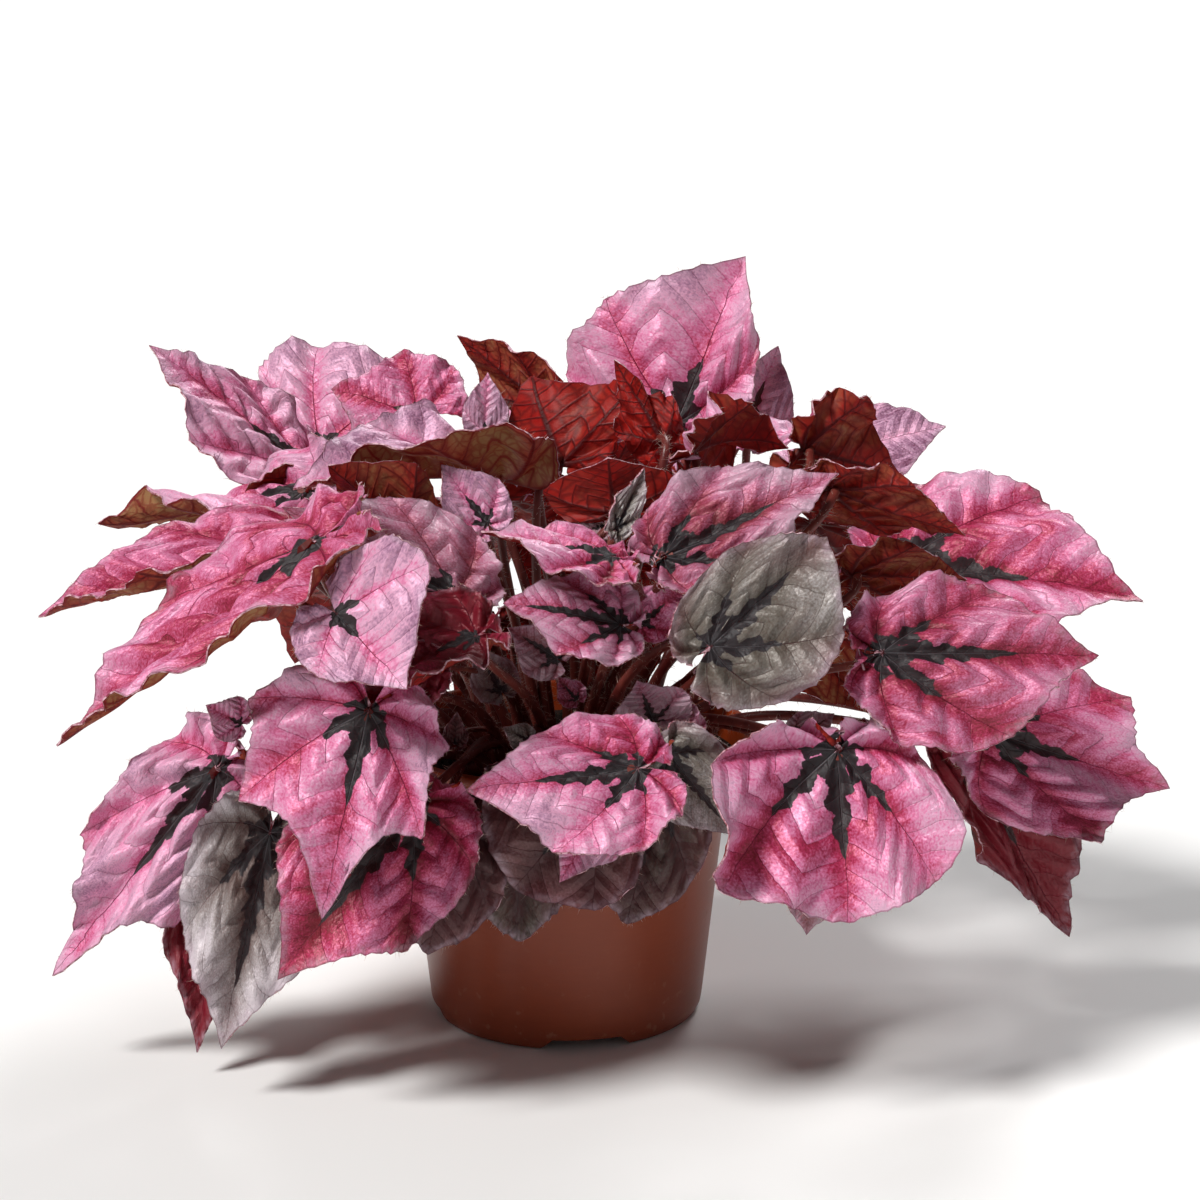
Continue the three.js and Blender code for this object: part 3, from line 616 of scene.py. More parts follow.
def curvePoint(points, share):
    a, b, c, d = (np.asarray(point, float)[None] for point in points)
    t = np.asarray(share, float)[:, None]
    return a * (1 - t) ** 3 + 3 * b * t * (1 - t) ** 2 + 3 * c * t ** 2 * (1 - t) + d * t ** 3


def stalkRadius(leaf, share):
    return (stalk["radius"] + (stalk["tip"] - stalk["radius"]) * share) * leaf["stalkSize"]


def addStalks(name, leaves):
    bpy.ops.object.select_all(action="DESELECT")
    bpy.ops.curve.primitive_bezier_curve_add()
    line = bpy.context.object.data
    line.splines.clear()
    line.dimensions = "3D"
    line.bevel_depth = mm
    line.bevel_resolution = stalk["bevel"]
    line.use_fill_caps = True
    line.resolution_u = 6
    for leaf in leaves:
        share = np.linspace(0, 1, stalk["steps"])
        points = curvePoint(stalkPoints(leaf), share)
        face = bladeAxes(leaf)[2]
        points = np.vstack([points, points[-1] + face * 0.2])
        radii = stalkRadius(leaf, share)
        radii = radii + stalk["footFlare"] * np.exp(-share * stalk["footFade"])
        radii = radii + stalk["tipFlare"] * np.exp(-(1 - share) * stalk["tipFade"])
        addSpline(line, points, np.append(radii, radii[-1]))
    for arm in range(len(rhizome["headings"])):
        share = np.linspace(0, 1, stalk["armSteps"])
        points = [armPoint(arm, s) for s in share]
        addSpline(line, points, rhizome["radius"] + (rhizome["tip"] - rhizome["radius"]) * share)
    bpy.ops.object.convert(target="MESH")
    bpy.ops.object.shade_smooth()
    return show(name, bpy.context.object)


def addSpline(line, points, radii):
    spline = line.splines.new("NURBS")
    spline.points.add(len(points) - 1)
    for knot, point, radius in zip(spline.points, points, radii):
        knot.co = (*(np.asarray(point) * mm), 1)
        knot.radius = radius
    spline.order_u = 3
    spline.use_endpoint_u = True


# Hairs

hair = dict(radius=0.085, tip=0.12)
stalkHair = dict(perMm=1.3, span=(0.1, 0.98), length=(1.2, 3.6), shorter=(0.5, 1), sunk=0.93, forward=0.35,
    stray=0.25, bend=0.35, sag=-0.15)
edgeHair = dict(perMm=0.6, length=(0.6, 1.7), sunk=0.2, inside=0.96, stray=0.5, bend=0.3)


def hairBlank():  # one bent spike, copied by its corners for every hair
    bpy.ops.object.select_all(action="DESELECT")
    bpy.ops.mesh.primitive_cone_add(vertices=3, radius1=1, radius2=hair["tip"], depth=1, location=(0, 0, 0.5))
    bpy.ops.object.transform_apply(location=True)
    bpy.ops.object.mode_set(mode="EDIT")
    bpy.ops.mesh.select_all(action="SELECT")
    bpy.ops.mesh.bisect(plane_co=(0, 0, 0.5), plane_no=(0, 0, 1))
    bpy.ops.object.mode_set(mode="OBJECT")
    return takeBlank()


def addHairs(name, roots, ways, lengths, bends):
    corners, faces = hairBlank()
    ways = ways / np.linalg.norm(ways, axis=1)[:, None]
    side = np.cross(ways, [0.31, 0.52, 0.8])
    side /= np.linalg.norm(side, axis=1)[:, None]
    other = np.cross(ways, side)
    height = corners[:, 2][None, :, None]
    points = roots[:, None] + ways[:, None] * height * lengths[:, None, None]
    points = points + side[:, None] * corners[:, 0][None, :, None] * hair["radius"]
    points = points + other[:, None] * corners[:, 1][None, :, None] * hair["radius"]
    points = points + bends[:, None] * height ** 2 * lengths[:, None, None]
    return addCopies(name, points, faces)


def stalkHairs(name, leaves, rng):
    roots, ways = [], []
    for leaf in leaves:
        points = stalkPoints(leaf)
        length = np.linalg.norm(np.diff(curvePoint(points, np.linspace(0, 1, 12)), axis=0), axis=1).sum()
        count = int(length * stalkHair["perMm"])
        share = rng.uniform(*stalkHair["span"], count)
        spot = curvePoint(points, share)
        ahead = curvePoint(points, share + 0.01) - spot
        ahead /= np.linalg.norm(ahead, axis=1)[:, None]
        loose = rng.normal(size=(count, 3))
        out = loose - ahead * (loose * ahead).sum(1)[:, None]
        out /= np.linalg.norm(out, axis=1)[:, None]
        roots.append(spot + out * (stalkRadius(leaf, share) * stalkHair["sunk"])[:, None])
        ways.append(out + stalkHair["forward"] * ahead + stalkHair["stray"] * rng.normal(size=(count, 3)))
    roots, ways = np.vstack(roots), np.vstack(ways)
    count = len(roots)
    lengths = rng.uniform(*stalkHair["length"], count) * rng.uniform(*stalkHair["shorter"], count)
    bends = stalkHair["bend"] * rng.normal(size=(count, 3)) + [0, 0, stalkHair["sag"]]
    return addHairs(name, roots, ways, lengths, bends)


def edgeHairs(name, leaves, rng):
    roots, ways = [], []
    for leaf in leaves:
        around = blade["around"] * leaf["length"]
        count = int(around * edgeHair["perMm"])
        angle = rng.uniform(-1, 1, count) * math.radians(blade["sinus"])
        spot = middleOf(leaf, angle, np.ones(count))[0]
        out = spot - middleOf(leaf, angle, np.full(count, edgeHair["inside"]))[0]
        out /= np.linalg.norm(out, axis=1)[:, None]
        roots.append(spot - out * edgeHair["sunk"])
        ways.append(out + edgeHair["stray"] * rng.normal(size=(count, 3)))
    roots, ways = np.vstack(roots), np.vstack(ways)
    count = len(roots)
    lengths = rng.uniform(*edgeHair["length"], count)
    bends = edgeHair["bend"] * rng.normal(size=(count, 3))
    return addHairs(name, roots, ways, lengths, bends)


def stalkFinish():
    material, tree = newMaterial("stalkSkin")
    place = objectPlace(tree)
    streak = noise(tree, place.times((1, 1, 0.12)), 700, 3)
    patch = noise(tree, place, 90, 2)
    colours = [(0, "380e0e"), (0.45, "5c1c19"), (0.75, "7c3830"), (1, "98624c")]
    tone = (0.35 + 0.5 * streak + 0.7 * (patch - 0.5)).within()
    colour = addNode(tree, "ShaderNodeValToRGB", stopsOf(colours), {0: tone})
    rough = 0.42 + 0.2 * (streak - 0.5)
    finishMaterial(tree, {"Base Color": colour, "Roughness": rough}, streak, depth=0.0003, strength=0.5,
        glow=dict(colour=(0.6, 0.08, 0.04), share=0.12))
    return material


def hairFinish():
    material, tree = newMaterial("hair")
    tone = noise(tree, objectPlace(tree), 500, 1)
    colour = blend(tree, tone, hue("a8786c"), hue("d9c4b8"))
    finishMaterial(tree, {"Base Color": colour, "Roughness": 0.5},
        glow=dict(colour=(0.7, 0.55, 0.5), share=0.35))
    return material


# Pot

pot = dict(height=98, lip=64.4, lipHeight=3, collarTop=62.4, collarFoot=59.6, collarHeight=21, bodyTop=55,
    bodyFoot=47, foot=44.5, footHeight=4, footWidth=7, pad=10, wall=1.4, floor=1.6, edge=0.7, sides=144,
    smooth=32)
notch = dict(count=4, heading=279, mouth=33, roof=23, below=-1, reach=16)
drain = dict(radius=4, ring=26, depth=30, sides=32)


def potProfile():  # radius and height, from the middle of the foot round to the middle of the floor
    lipFoot = pot["height"] - pot["lipHeight"]
    collarFoot = pot["height"] - pot["collarHeight"]
    floorTop = pot["footHeight"] + pot["floor"]
    inner = pot["bodyFoot"] - pot["wall"]
    footInner = pot["foot"] - pot["footWidth"]
    e, wall = pot["edge"], pot["wall"]
    return [
        (0, 0), (pot["pad"], 0), (pot["pad"] + e, pot["footHeight"]), (footInner, pot["footHeight"]),
        (footInner + e, 0), (pot["foot"], 0), (pot["foot"] + 1.2, 0.6), (pot["bodyFoot"] - 0.4, 2.4),
        (pot["bodyFoot"], pot["footHeight"] + e), (pot["bodyTop"] - 0.3, collarFoot - 1.5),
        (pot["bodyTop"] + 0.4, collarFoot - 0.3), (pot["collarFoot"] - 0.5, collarFoot),
        (pot["collarFoot"], collarFoot + e), (pot["collarTop"] - 0.2, lipFoot - 0.5),
        (pot["lip"] - 0.4, lipFoot), (pot["lip"], lipFoot + e), (pot["lip"], pot["height"] - e),
        (pot["lip"] - e * 0.4, pot["height"] - 0.2), (pot["lip"] - e, pot["height"]),
        (pot["collarTop"] - wall + 0.4, pot["height"]),
        (pot["collarTop"] - wall, pot["height"] - 0.4), (pot["collarFoot"] - wall, collarFoot + e + wall),
        (pot["bodyTop"] - wall, collarFoot + wall), (inner, floorTop + wall), (inner - wall, floorTop),
        (0, floorTop),
    ]


def cutFrom(piece, cutter):
    pick(piece)
    bpy.ops.object.modifier_add(type="BOOLEAN")
    cut = piece.modifiers[-1]
    cut.operation = "DIFFERENCE"
    cut.object = cutter
    bpy.ops.object.modifier_apply(modifier=cut.name)
    bpy.data.objects.remove(cutter)


def makePot():
    profile = [(radius, 0, height) for radius, height in potProfile()]
    edges = [(number, number + 1) for number in range(len(profile) - 1)]
    piece = addMesh("potShell", profile, edges, [])
    pick(piece)
    bpy.ops.object.mode_set(mode="EDIT")
    bpy.ops.mesh.select_all(action="SELECT")
    bpy.ops.mesh.spin(steps=pot["sides"], angle=2 * math.pi, center=(0, 0, 0), axis=(0, 0, 1))
    bpy.ops.mesh.select_all(action="SELECT")
    bpy.ops.mesh.remove_doubles(threshold=1e-5)
    bpy.ops.mesh.normals_make_consistent(inside=False)
    bpy.ops.object.mode_set(mode="OBJECT")
    for number in range(notch["count"]):
        heading = math.radians(notch["heading"] + 360 * number / notch["count"])
        reach = pot["bodyFoot"] + 2 - notch["reach"] / 2
        bpy.ops.mesh.primitive_cube_add(size=1, location=(0, 0, 0))
        cutter = bpy.context.object
        for corner in cutter.data.vertices:
            out, across, up = corner.co
            width, height = (notch["mouth"], notch["below"]) if up < 0 else (notch["roof"], pot["footHeight"])
            place = Vector((out * notch["reach"] + reach, across * width, height)) * mm
            corner.co = Matrix.Rotation(heading, 3, "Z") @ place
        cutFrom(piece, cutter)
        spot = (math.cos(heading) * drain["ring"] * mm, math.sin(heading) * drain["ring"] * mm, 0)
        bpy.ops.mesh.primitive_cylinder_add(vertices=drain["sides"], radius=drain["radius"] * mm,
            depth=drain["depth"] * mm, location=spot)
        cutFrom(piece, bpy.context.object)
    pick(piece)
    bpy.ops.object.shade_smooth_by_angle(angle=math.radians(pot["smooth"]))
    return piece


def potFinish():
    material, tree = newMaterial("potPlastic")
    place = objectPlace(tree)
    z = place.parts()[2]
    cloud = noise(tree, place.times((1, 1, 0.35)), 22, 3)
    grain = noise(tree, place, 1600, 3)
    rub = noise(tree, place.times((1, 1, 6)), 120, 4)
    dust = noise(tree, place, 260, 4).step(0.62, 0.72)
    worn = (0.3 + 0.8 * (cloud - 0.5) + 0.25 * (rub - 0.5)).within()
    colour = blend(tree, worn, hue("7c331d"), hue("a04a28"))
    colour = blend(tree, z.step(0.076, 0.079) * 0.75, colour, hue("ad4318"))
    colour = blend(tree, dust * (1 - z.step(0.0, 0.05)) * 0.25, colour, hue("b88a70"))
    rough = 0.36 + 0.25 * (cloud - 0.5) + 0.12 * dust
    height = 0.5 * grain + 0.5 * rub
    finishMaterial(tree, {"Base Color": colour, "Roughness": rough, "Specular IOR Level": 0.45}, height,
        depth=0.00012, strength=0.5, glow=dict(colour=(0.8, 0.2, 0.06), share=0.06))
    return material


# Soil

soil = dict(radius=58.9, top=88, crown=2.5, reach=58, lumps=0.9, rough=0.8, fine=0.45, sides=144, rings=46,
    rimWidth=0.4, rimDrop=0.2, smooth=50,
    wall=((57.9, 79.4), (53.2, 77.9), (45.3, 7.4), (43.9, 6)))  # wall: radii and heights down to the floor
crumb = dict(count=420, reach=56.5, size=(0.5, 1.5), bigEvery=9, bigger=1.6, fibreEvery=5,
    fibre=(3.2, 0.5, 0.5), wide=(0.5, 1), tall=(0.4, 0.9), tilt=0.5, lumpy=(0.75, 1.2), lift=0.25)


def soilHeight(x, y):
    reach = np.hypot(x, y) / soil["reach"]
    lumps = np.sin(x * 0.35) * np.cos(y * 0.35)
    rough = np.sin(x * 1.9 + 1.3 * np.sin(y * 1.1)) * np.cos(y * 2.3 + np.sin(x * 1.7))
    fine = np.sin(x * 4.7 + 2 * np.sin(y * 3.1)) * np.sin(y * 5.3 + np.cos(x * 3.7))
    uneven = soil["lumps"] * lumps + soil["rough"] * rough + soil["fine"] * fine
    return soil["top"] + soil["crown"] * (1 - reach ** 2) + uneven * (1 - reach ** 4)


def makeSoil():
    bpy.ops.mesh.primitive_circle_add(vertices=soil["sides"], radius=soil["radius"] * mm, fill_type="NGON",
        location=(0, 0, soil["top"] * mm))
    piece = show("peat", bpy.context.object)
    bpy.ops.object.mode_set(mode="EDIT")
    bpy.ops.mesh.select_all(action="SELECT")
    for ring in range(soil["rings"]):
        bpy.ops.mesh.inset(thickness=soil["radius"] / (soil["rings"] + 2) * mm)
    bpy.ops.mesh.poke()
    bpy.ops.object.mode_set(mode="OBJECT")
    bpy.ops.object.transform_apply(location=True)
    mesh = piece.data
    corners = cornersOf(mesh) / mm
    rim = np.hypot(corners[:, 0], corners[:, 1]) > soil["radius"] - soil["rimWidth"]
    inner = soilHeight(corners[:, 0], corners[:, 1])
    corners[:, 2] = np.where(rim, soil["top"] - soil["rimDrop"], inner)
    mesh.vertices.foreach_set("co", (corners * mm).ravel())
    ball = bmesh.new()
    ball.from_mesh(mesh)
    border = [line for line in ball.edges if line.is_boundary]
    for radius, height in soil["wall"]:
        made = bmesh.ops.extrude_edge_only(ball, edges=border)
        for corner in [part for part in made["geom"] if isinstance(part, bmesh.types.BMVert)]:
            way = Vector((corner.co.x, corner.co.y, 0)).normalized()
            corner.co = way * radius * mm + Vector((0, 0, height * mm))
        border = [part for part in made["geom"] if isinstance(part, bmesh.types.BMEdge)]
    bmesh.ops.contextual_create(ball, geom=border)
    bmesh.ops.recalc_face_normals(ball, faces=ball.faces)
    ball.to_mesh(mesh)
    ball.free()
    bpy.ops.object.shade_smooth_by_angle(angle=math.radians(soil["smooth"]))
    return piece


def makeCrumbs(rng):
    bpy.ops.mesh.primitive_ico_sphere_add(subdivisions=1, radius=1, location=(0, 0, 0))
    corners, faces = takeBlank()
    shapes = []
    for number in range(crumb["count"]):
        reach = crumb["reach"] * math.sqrt(rng.uniform(0.02, 1))
        heading = rng.uniform(0, 2 * math.pi)
        x = reach * math.cos(heading)
        y = reach * math.sin(heading)
        size = rng.uniform(*crumb["size"]) * (crumb["bigger"] if number % crumb["bigEvery"] == 0 else 1)
        stretch = np.array([1, rng.uniform(*crumb["wide"]), rng.uniform(*crumb["tall"])]) * size
        if number % crumb["fibreEvery"] == 0:
            stretch *= crumb["fibre"]
        turn = Matrix.Rotation(rng.uniform(0, 6.3), 3, "Z")
        turn = np.array(turn @ Matrix.Rotation(rng.uniform(-crumb["tilt"], crumb["tilt"]), 3, "Y"))
        shape = corners * rng.uniform(*crumb["lumpy"], (len(corners), 1)) * stretch
        middle = np.array([x, y, soilHeight(x, y) + crumb["lift"] * size])
        shapes.append(shape @ turn.T + middle)
    return addCopies("peatCrumbs", shapes, faces)


def soilFinish():
    material, tree = newMaterial("peat")
    place = objectPlace(tree)
    clods = noise(tree, place, 260, 5)
    fine = noise(tree, place, 1500, 4)
    fibre = noise(tree, place.times((1, 0.15, 1)), 900, 2).step(0.66, 0.7)
    colours = [(0, "0d0806"), (0.45, "1d120d"), (0.75, "35231a"), (1, "553a2a")]
    tone = (0.6 * clods + 0.5 * fine - 0.1).within()
    colour = addNode(tree, "ShaderNodeValToRGB", stopsOf(colours), {0: tone})
    colour = blend(tree, fibre * 0.5, colour, hue("6b4a34"))
    finishMaterial(tree, {"Base Color": colour, "Roughness": 0.95 - 0.2 * fine}, clods + 0.6 * fine)
    return material


# The plant's leaves, in millimetres. base is where the stalk meets the blade and face the way its upper
# side looks; hot, silver, red and shade set its colours.

# On the leaves that stand in shade, a high hot also paints that shade into their colour.
leafTable = {
    "left_high": dict(base=(-92, 45, 182), tip=(-143, 45, 224), face=(3, -5, 10), width=0.74, skew=0.28,
        curl=(5, 8), hot=0.38, spread=0.62, fold=0, pleat=0.6),
    "left_curl": dict(base=(-85, -12, 184), tip=(-156, -2, 172), face=(0, -7, 8), width=0.58, arch=10,
        twist=125, hot=0.42, spread=0.6, red=0.05),
    "left_mid": dict(base=(-83, -58, 173), tip=(-168, -55, 155), face=(0, -4, 10), width=0.5,
        curl=(62, 12), fold=10, hot=0.6, spread=0.4, red=0.15, wave=0.012, pleat=0.4),
    "left_low": dict(base=(-73, -100, 184), tip=(-154, -107, 126), face=(-5, -4, 9), width=0.54,
        curl=(18, 0), fold=8, bow=(-25, 10, -10), hot=0.63, spread=0.5, red=0.1, wave=0.012, pleat=0.4),
    "left_grey": dict(base=(-33, -79, 163), tip=(-86, -74, 190), face=(1, -10, 2), curl=(-5, -10),
        hot=0.45, silver=0.5, width=0.55, spread=0.6, crinkle=1.5, skew=-0.3),
    "left_heart": dict(base=(-65, -122, 168), tip=(-44, -138, 150), face=(0, -10, 4), width=1.4,
        curl=(10, -10), fold=14, lobe=0.12, bow=(-32, 0, 0), hot=0.24, spread=0.5, skew=0.3),
    "back_left_round": dict(base=(-88, 62, 184), tip=(-50, 78, 211), face=(-1, -10, 9), width=1.5,
        arch=12, curl=(-10, -10), bow=(0, 0, 10), hot=0.35, spread=0.3, crinkle=1.5, skew=0.15),
    "back_left_ruffled": dict(base=(-51, 22, 203), tip=(-81, 30, 211), face=(0, -10, 8), width=1.1,
        curl=(10, 10), bow=(10, 0, 10), hot=0.6, spread=0.45, lobe=0.35, crinkle=2.5, notch=0.05),
    "left_arched": dict(base=(-21, -20, 189), tip=(-85, -50, 196), face=(0, -1, 10), width=0.9, arch=12,
        curl=(40, 0), fold=22, hot=0.3, red=0.02),
    "left_funnel": dict(base=(-50, -58, 180), tip=(-72, -64, 203), face=(-3, 7, 8), width=1,
        curl=(30, 30), fold=10, red=0.35),
    # centre
    "young_silver": dict(base=(-24, -55, 181), tip=(-38, -50, 199), face=(2, -10, 3), width=0.95,
        fold=20, hot=0.3, spread=0.8),
    "centre_left": dict(base=(15, -86, 177), tip=(-24, -90, 187), face=(0, -2, 10), arch=10,
        curl=(-20, -10), bow=(20, 10, 20), hot=0.6, spread=0.85, width=0.8),
    "centre_big": dict(base=(31, -75, 175), tip=(86, -60, 199), face=(0, -1, 1), width=0.68, fold=5,
        hot=0.58, shade=0.5, spread=1.05, lobe=-0.15, silver=0.38),
    "centre_green": dict(base=(45, -97, 152), tip=(80, -89, 184), face=(-1, -10, 2), width=0.72,
        skew=-0.25, curl=(-8, -8), bow=(0, 0, 10), silver=1, hot=0.44, shade=0.12, spread=1.15, point=0,
        belly=0.12),
    "centre_dark": dict(base=(18, -85, 156), tip=(-18, -90, 165), face=(0, -7, 8), width=0.86,
        silver=0.25, hot=0.45, spread=1.35),
    "centre_red": dict(base=(-26, -96, 155), tip=(-66, -104, 143), face=(0, -6, 8),
        lobe=0.02, fold=6, hot=1.0, spread=0.5, curl=(55, 25), notch=0.04, crinkle=2),
    "centre_boat": dict(base=(16, -52, 184), tip=(14, -57, 203), face=(0, 10, 3), width=2.15,
        curl=(24, 24), red=0.7),
    "centre_slate": dict(base=(17, -66, 182), tip=(26, -56, 199), face=(5, -10, 3), width=0.46, fold=15,
        silver=1, hot=0.2),
    # red undersides at the top
    "fan_red": dict(base=(-1, -2, 190), tip=(-11, 14, 216), face=(0, 10, 5), width=1.6, lobe=-0.06,
        red=0.75, notch=0.07, pleat=1.4, belly=0.12, point=0.02, crinkle=3),
    "top_olive": dict(base=(-6, 30, 204), tip=(-37, 35, 228), face=(3, 10, 4), width=0.62, fold=0,
        red=0.35),
    "red_narrow": dict(base=(32, -16, 199), tip=(16, -4, 225), face=(-5, 10, 3), width=0.7, fold=10,
        red=0.9, notch=0.08, pleat=2, crinkle=3),
    "red_arch": dict(base=(40, -28, 198), tip=(74, -10, 199), face=(0, 10, 6), width=0.9, arch=70,
        fold=0, notch=0.04, pleat=2, crinkle=2.5),
    "arch_inner": dict(base=(61, 10, 195), tip=(59, 30, 201), face=(0, -10, 9), width=1.8, fold=0,
        hot=0.35, spread=1.2),
    "top_big": dict(base=(38, 35, 197), tip=(62, 55, 254), face=(-1, -10, 4), width=1.08, skew=0.38,
        belly=-0.02, curl=(-10, -10), hot=0.4, spread=0.64, pleat=1.5),
    "top_small": dict(base=(63, 60, 190), tip=(75, 70, 219), face=(0, -10, 3), width=0.8, hot=0.3),
    # right side
    "right_red_high": dict(base=(77, -28, 200), tip=(109, -15, 190), face=(-2, 10, 3), width=1.25,
        fold=0, red=0.5, notch=0.04, pleat=1.5, crinkle=2.5),
    "right_red_low": dict(base=(84, -48, 191), tip=(128, -42, 175), face=(2, 10, 4), width=0.5, arch=10,
        fold=0, red=0.45),
    "right_back": dict(base=(101, 50, 186), tip=(133, 50, 194), face=(0, -10, 8), arch=10, fold=0,
        bow=(0, 0, 10), hot=0.2, spread=0.3),
    "right_top": dict(base=(113, 15, 153), tip=(196, 0, 146), face=(0, -9, 10), width=0.88, skew=0.12,
        curl=(-10, -20), hot=0.58, spread=0.9),
    "right_under": dict(base=(92, -40, 161), tip=(130, -28, 158), face=(0, 10, 2), width=0.6, fold=0,
        red=0.3),
    "right_big": dict(base=(98, -85, 147), tip=(168, -75, 145), face=(0, -10, 6), width=0.74, skew=-0.1,
        lobe=-0.08, belly=0.1, arch=0, curl=(-26, -6), hot=0.63, silver=0.15, spread=1.05),
    "right_low": dict(base=(138, -45, 110), tip=(200, -35, 88), face=(2, -10, 5), width=0.66,
        lobe=-0.08, belly=0.2, curl=(-8, -8), bow=(10, -30, 2), hot=0.56, spread=0.85, notch=0.06,
        point=0.05, pleat=0.7),
    # painted shade, partly: a hot past 1 gives right_dark the darkest crimson, partly its own colour and
    # partly the shade it hangs in
    "right_dark": dict(base=(129, -32, 105), tip=(171, -24, 31), face=(3, -10, 3), width=0.5, skew=0.35,
        lobe=-0.05, arch=8, hot=1.2, spread=0.9),
    "right_front": dict(base=(84, -95, 119), tip=(87, -118, 71), face=(0, -10, 5), width=0.95,
        lobe=-0.1, belly=0.3, arch=8, curl=(-10, 38), spread=1.05, notch=0.0, point=0.0,
        pleat=2.2, fold=0, skew=-0.17),
    "right_front_under": dict(base=(78, -90, 79), tip=(76, -90, 57), face=(0, -10, 2), bow=(0, 0, 10),
        silver=0.8),
    # front and lower left
    "front_left": dict(base=(-57, -115, 137), tip=(-71, -135, 77), face=(0, -10, 4), width=1,
        skew=-0.18, lobe=-0.04, belly=0.06, arch=8, curl=(-12, -12), spread=0.75, notch=0.11),
    "front_left_red": dict(base=(-46, -95, 101), tip=(-88, -112, 50), face=(0, -10, 4), arch=8,
        curl=(-12, -12), hot=0.75, spread=1.15, notch=0.03),
    "left_hanging": dict(base=(-110, -60, 102), tip=(-168, -65, 33), face=(-2, -10, 4), width=0.54,
        lobe=-0.06, belly=0.08, curl=(-8, -8), hot=0.36, spread=0.85, notch=0.07),
    # painted shadow: shade 0.8 darkens left_silver's upper half for the shadow that front_left casts on it
    "left_silver": dict(base=(-91, -85, 89), tip=(-108, -92, 19), face=(0, -10, 3), width=0.62, arch=8,
        silver=0.95, hot=0.34, shade=0.8, spread=1.2),
    # painted shade, partly: its high hot makes left_last maroon, partly its own colour and partly the shade
    # it hangs in
    "left_last": dict(base=(-110, -54, 75), tip=(-119, -69, 9), face=(0, -10, 3), width=0.46, arch=8,
        bow=(0, 0, 10), hot=1.05),
    # painted shade: a high hot darkens under_red for the shade under the leaves above it
    "under_red": dict(base=(-34, -78, 86), tip=(-43, -80, 46), face=(0, -10, 2), width=0.8,
        bow=(-10, -10, 10), silver=0.9, hot=1.05, shade=0.6, point=0.04),
    "front_centre": dict(base=(23, -110, 118), tip=(-29, -118, 114), face=(0, -10, 8), width=0.82,
        skew=0.2, lobe=0.04, arch=0, bow=(0, -10, 0)),
    "front_tip": dict(base=(12, -92, 97), tip=(-1, -98, 77), face=(0, -10, 3), width=0.9,
        bow=(5, -25, 10), hot=0.4, notch=0.05),
    # painted shade: a high hot darkens front_grey for the shade it stands in
    "front_grey": dict(base=(8, -84, 99), tip=(-16, -86, 70), face=(0, -10, 3), width=1.05, silver=0.85,
        hot=0.95, shade=0.5, point=0, belly=0.12),
    # painted shade: a high hot darkens front_olive_left for the shade it stands in
    "front_olive_left": dict(base=(-13, -72, 96), tip=(-15, -74, 48), face=(0, -10, 2), width=0.62,
        bow=(0, 0, 14), silver=1, hot=0.9, shade=0.3, point=0, belly=0.05),
    # painted shade: a high hot darkens front_olive_right for the shade it stands in
    "front_olive_right": dict(base=(29, -74, 96), tip=(20, -76, 55), face=(0, -10, 2), bow=(0, 0, 10),
        silver=1, hot=0.85, shade=0.3, point=0.02, belly=0.02, width=0.8),
    "young_star": dict(base=(28, -80, 124), tip=(23, -81, 137), face=(0, -10, 3), width=1.5, lobe=0.35,
        silver=0.55, hot=0.4, spread=1.15),
    "rim_olive": dict(base=(33, -90, 116), tip=(54, -86, 88), face=(0, -10, 5), width=0.8,
        bow=(4, 0, 4), silver=1, hot=0.2, spread=1.3),
    "rim_grey": dict(base=(70, -70, 109), tip=(54, -68, 87), face=(0, -10, 5), silver=1, hot=0.25),
    # the back, which the photograph doesn't show
    "back_west": dict(base=(-100, 45, 140), tip=(-158, 70, 98), face=(-6, 5, 10), arch=20,
        curl=(-15, -15)),
    "back_north_west": dict(base=(-66, 78, 145), tip=(-108, 128, 92), face=(-4, 8, 6), arch=20,
        curl=(-15, -15)),
    "back_north": dict(base=(-22, 88, 160), tip=(-36, 150, 115), face=(-2, 8, 8), arch=20,
        curl=(-15, -15)),
    "back_north_east": dict(base=(32, 90, 150), tip=(44, 152, 98), face=(2, 8, 8), arch=20,
        curl=(-15, -15)),
    "back_east": dict(base=(88, 70, 155), tip=(130, 122, 104), face=(4, 8, 7), arch=20, curl=(-15, -15)),
    "back_far_east": dict(base=(112, 48, 112), tip=(165, 78, 66), face=(6, 6, 9), arch=20,
        curl=(-15, -15)),
    "back_low": dict(base=(-12, 84, 108), tip=(-20, 112, 48), face=(-1, 10, 4), arch=15, silver=1,
        hot=0.6),
    "back_top": dict(base=(6, 62, 192), tip=(-2, 116, 202), face=(0, 1, 10), width=0.9, arch=20,
        curl=(-15, -15)),
}
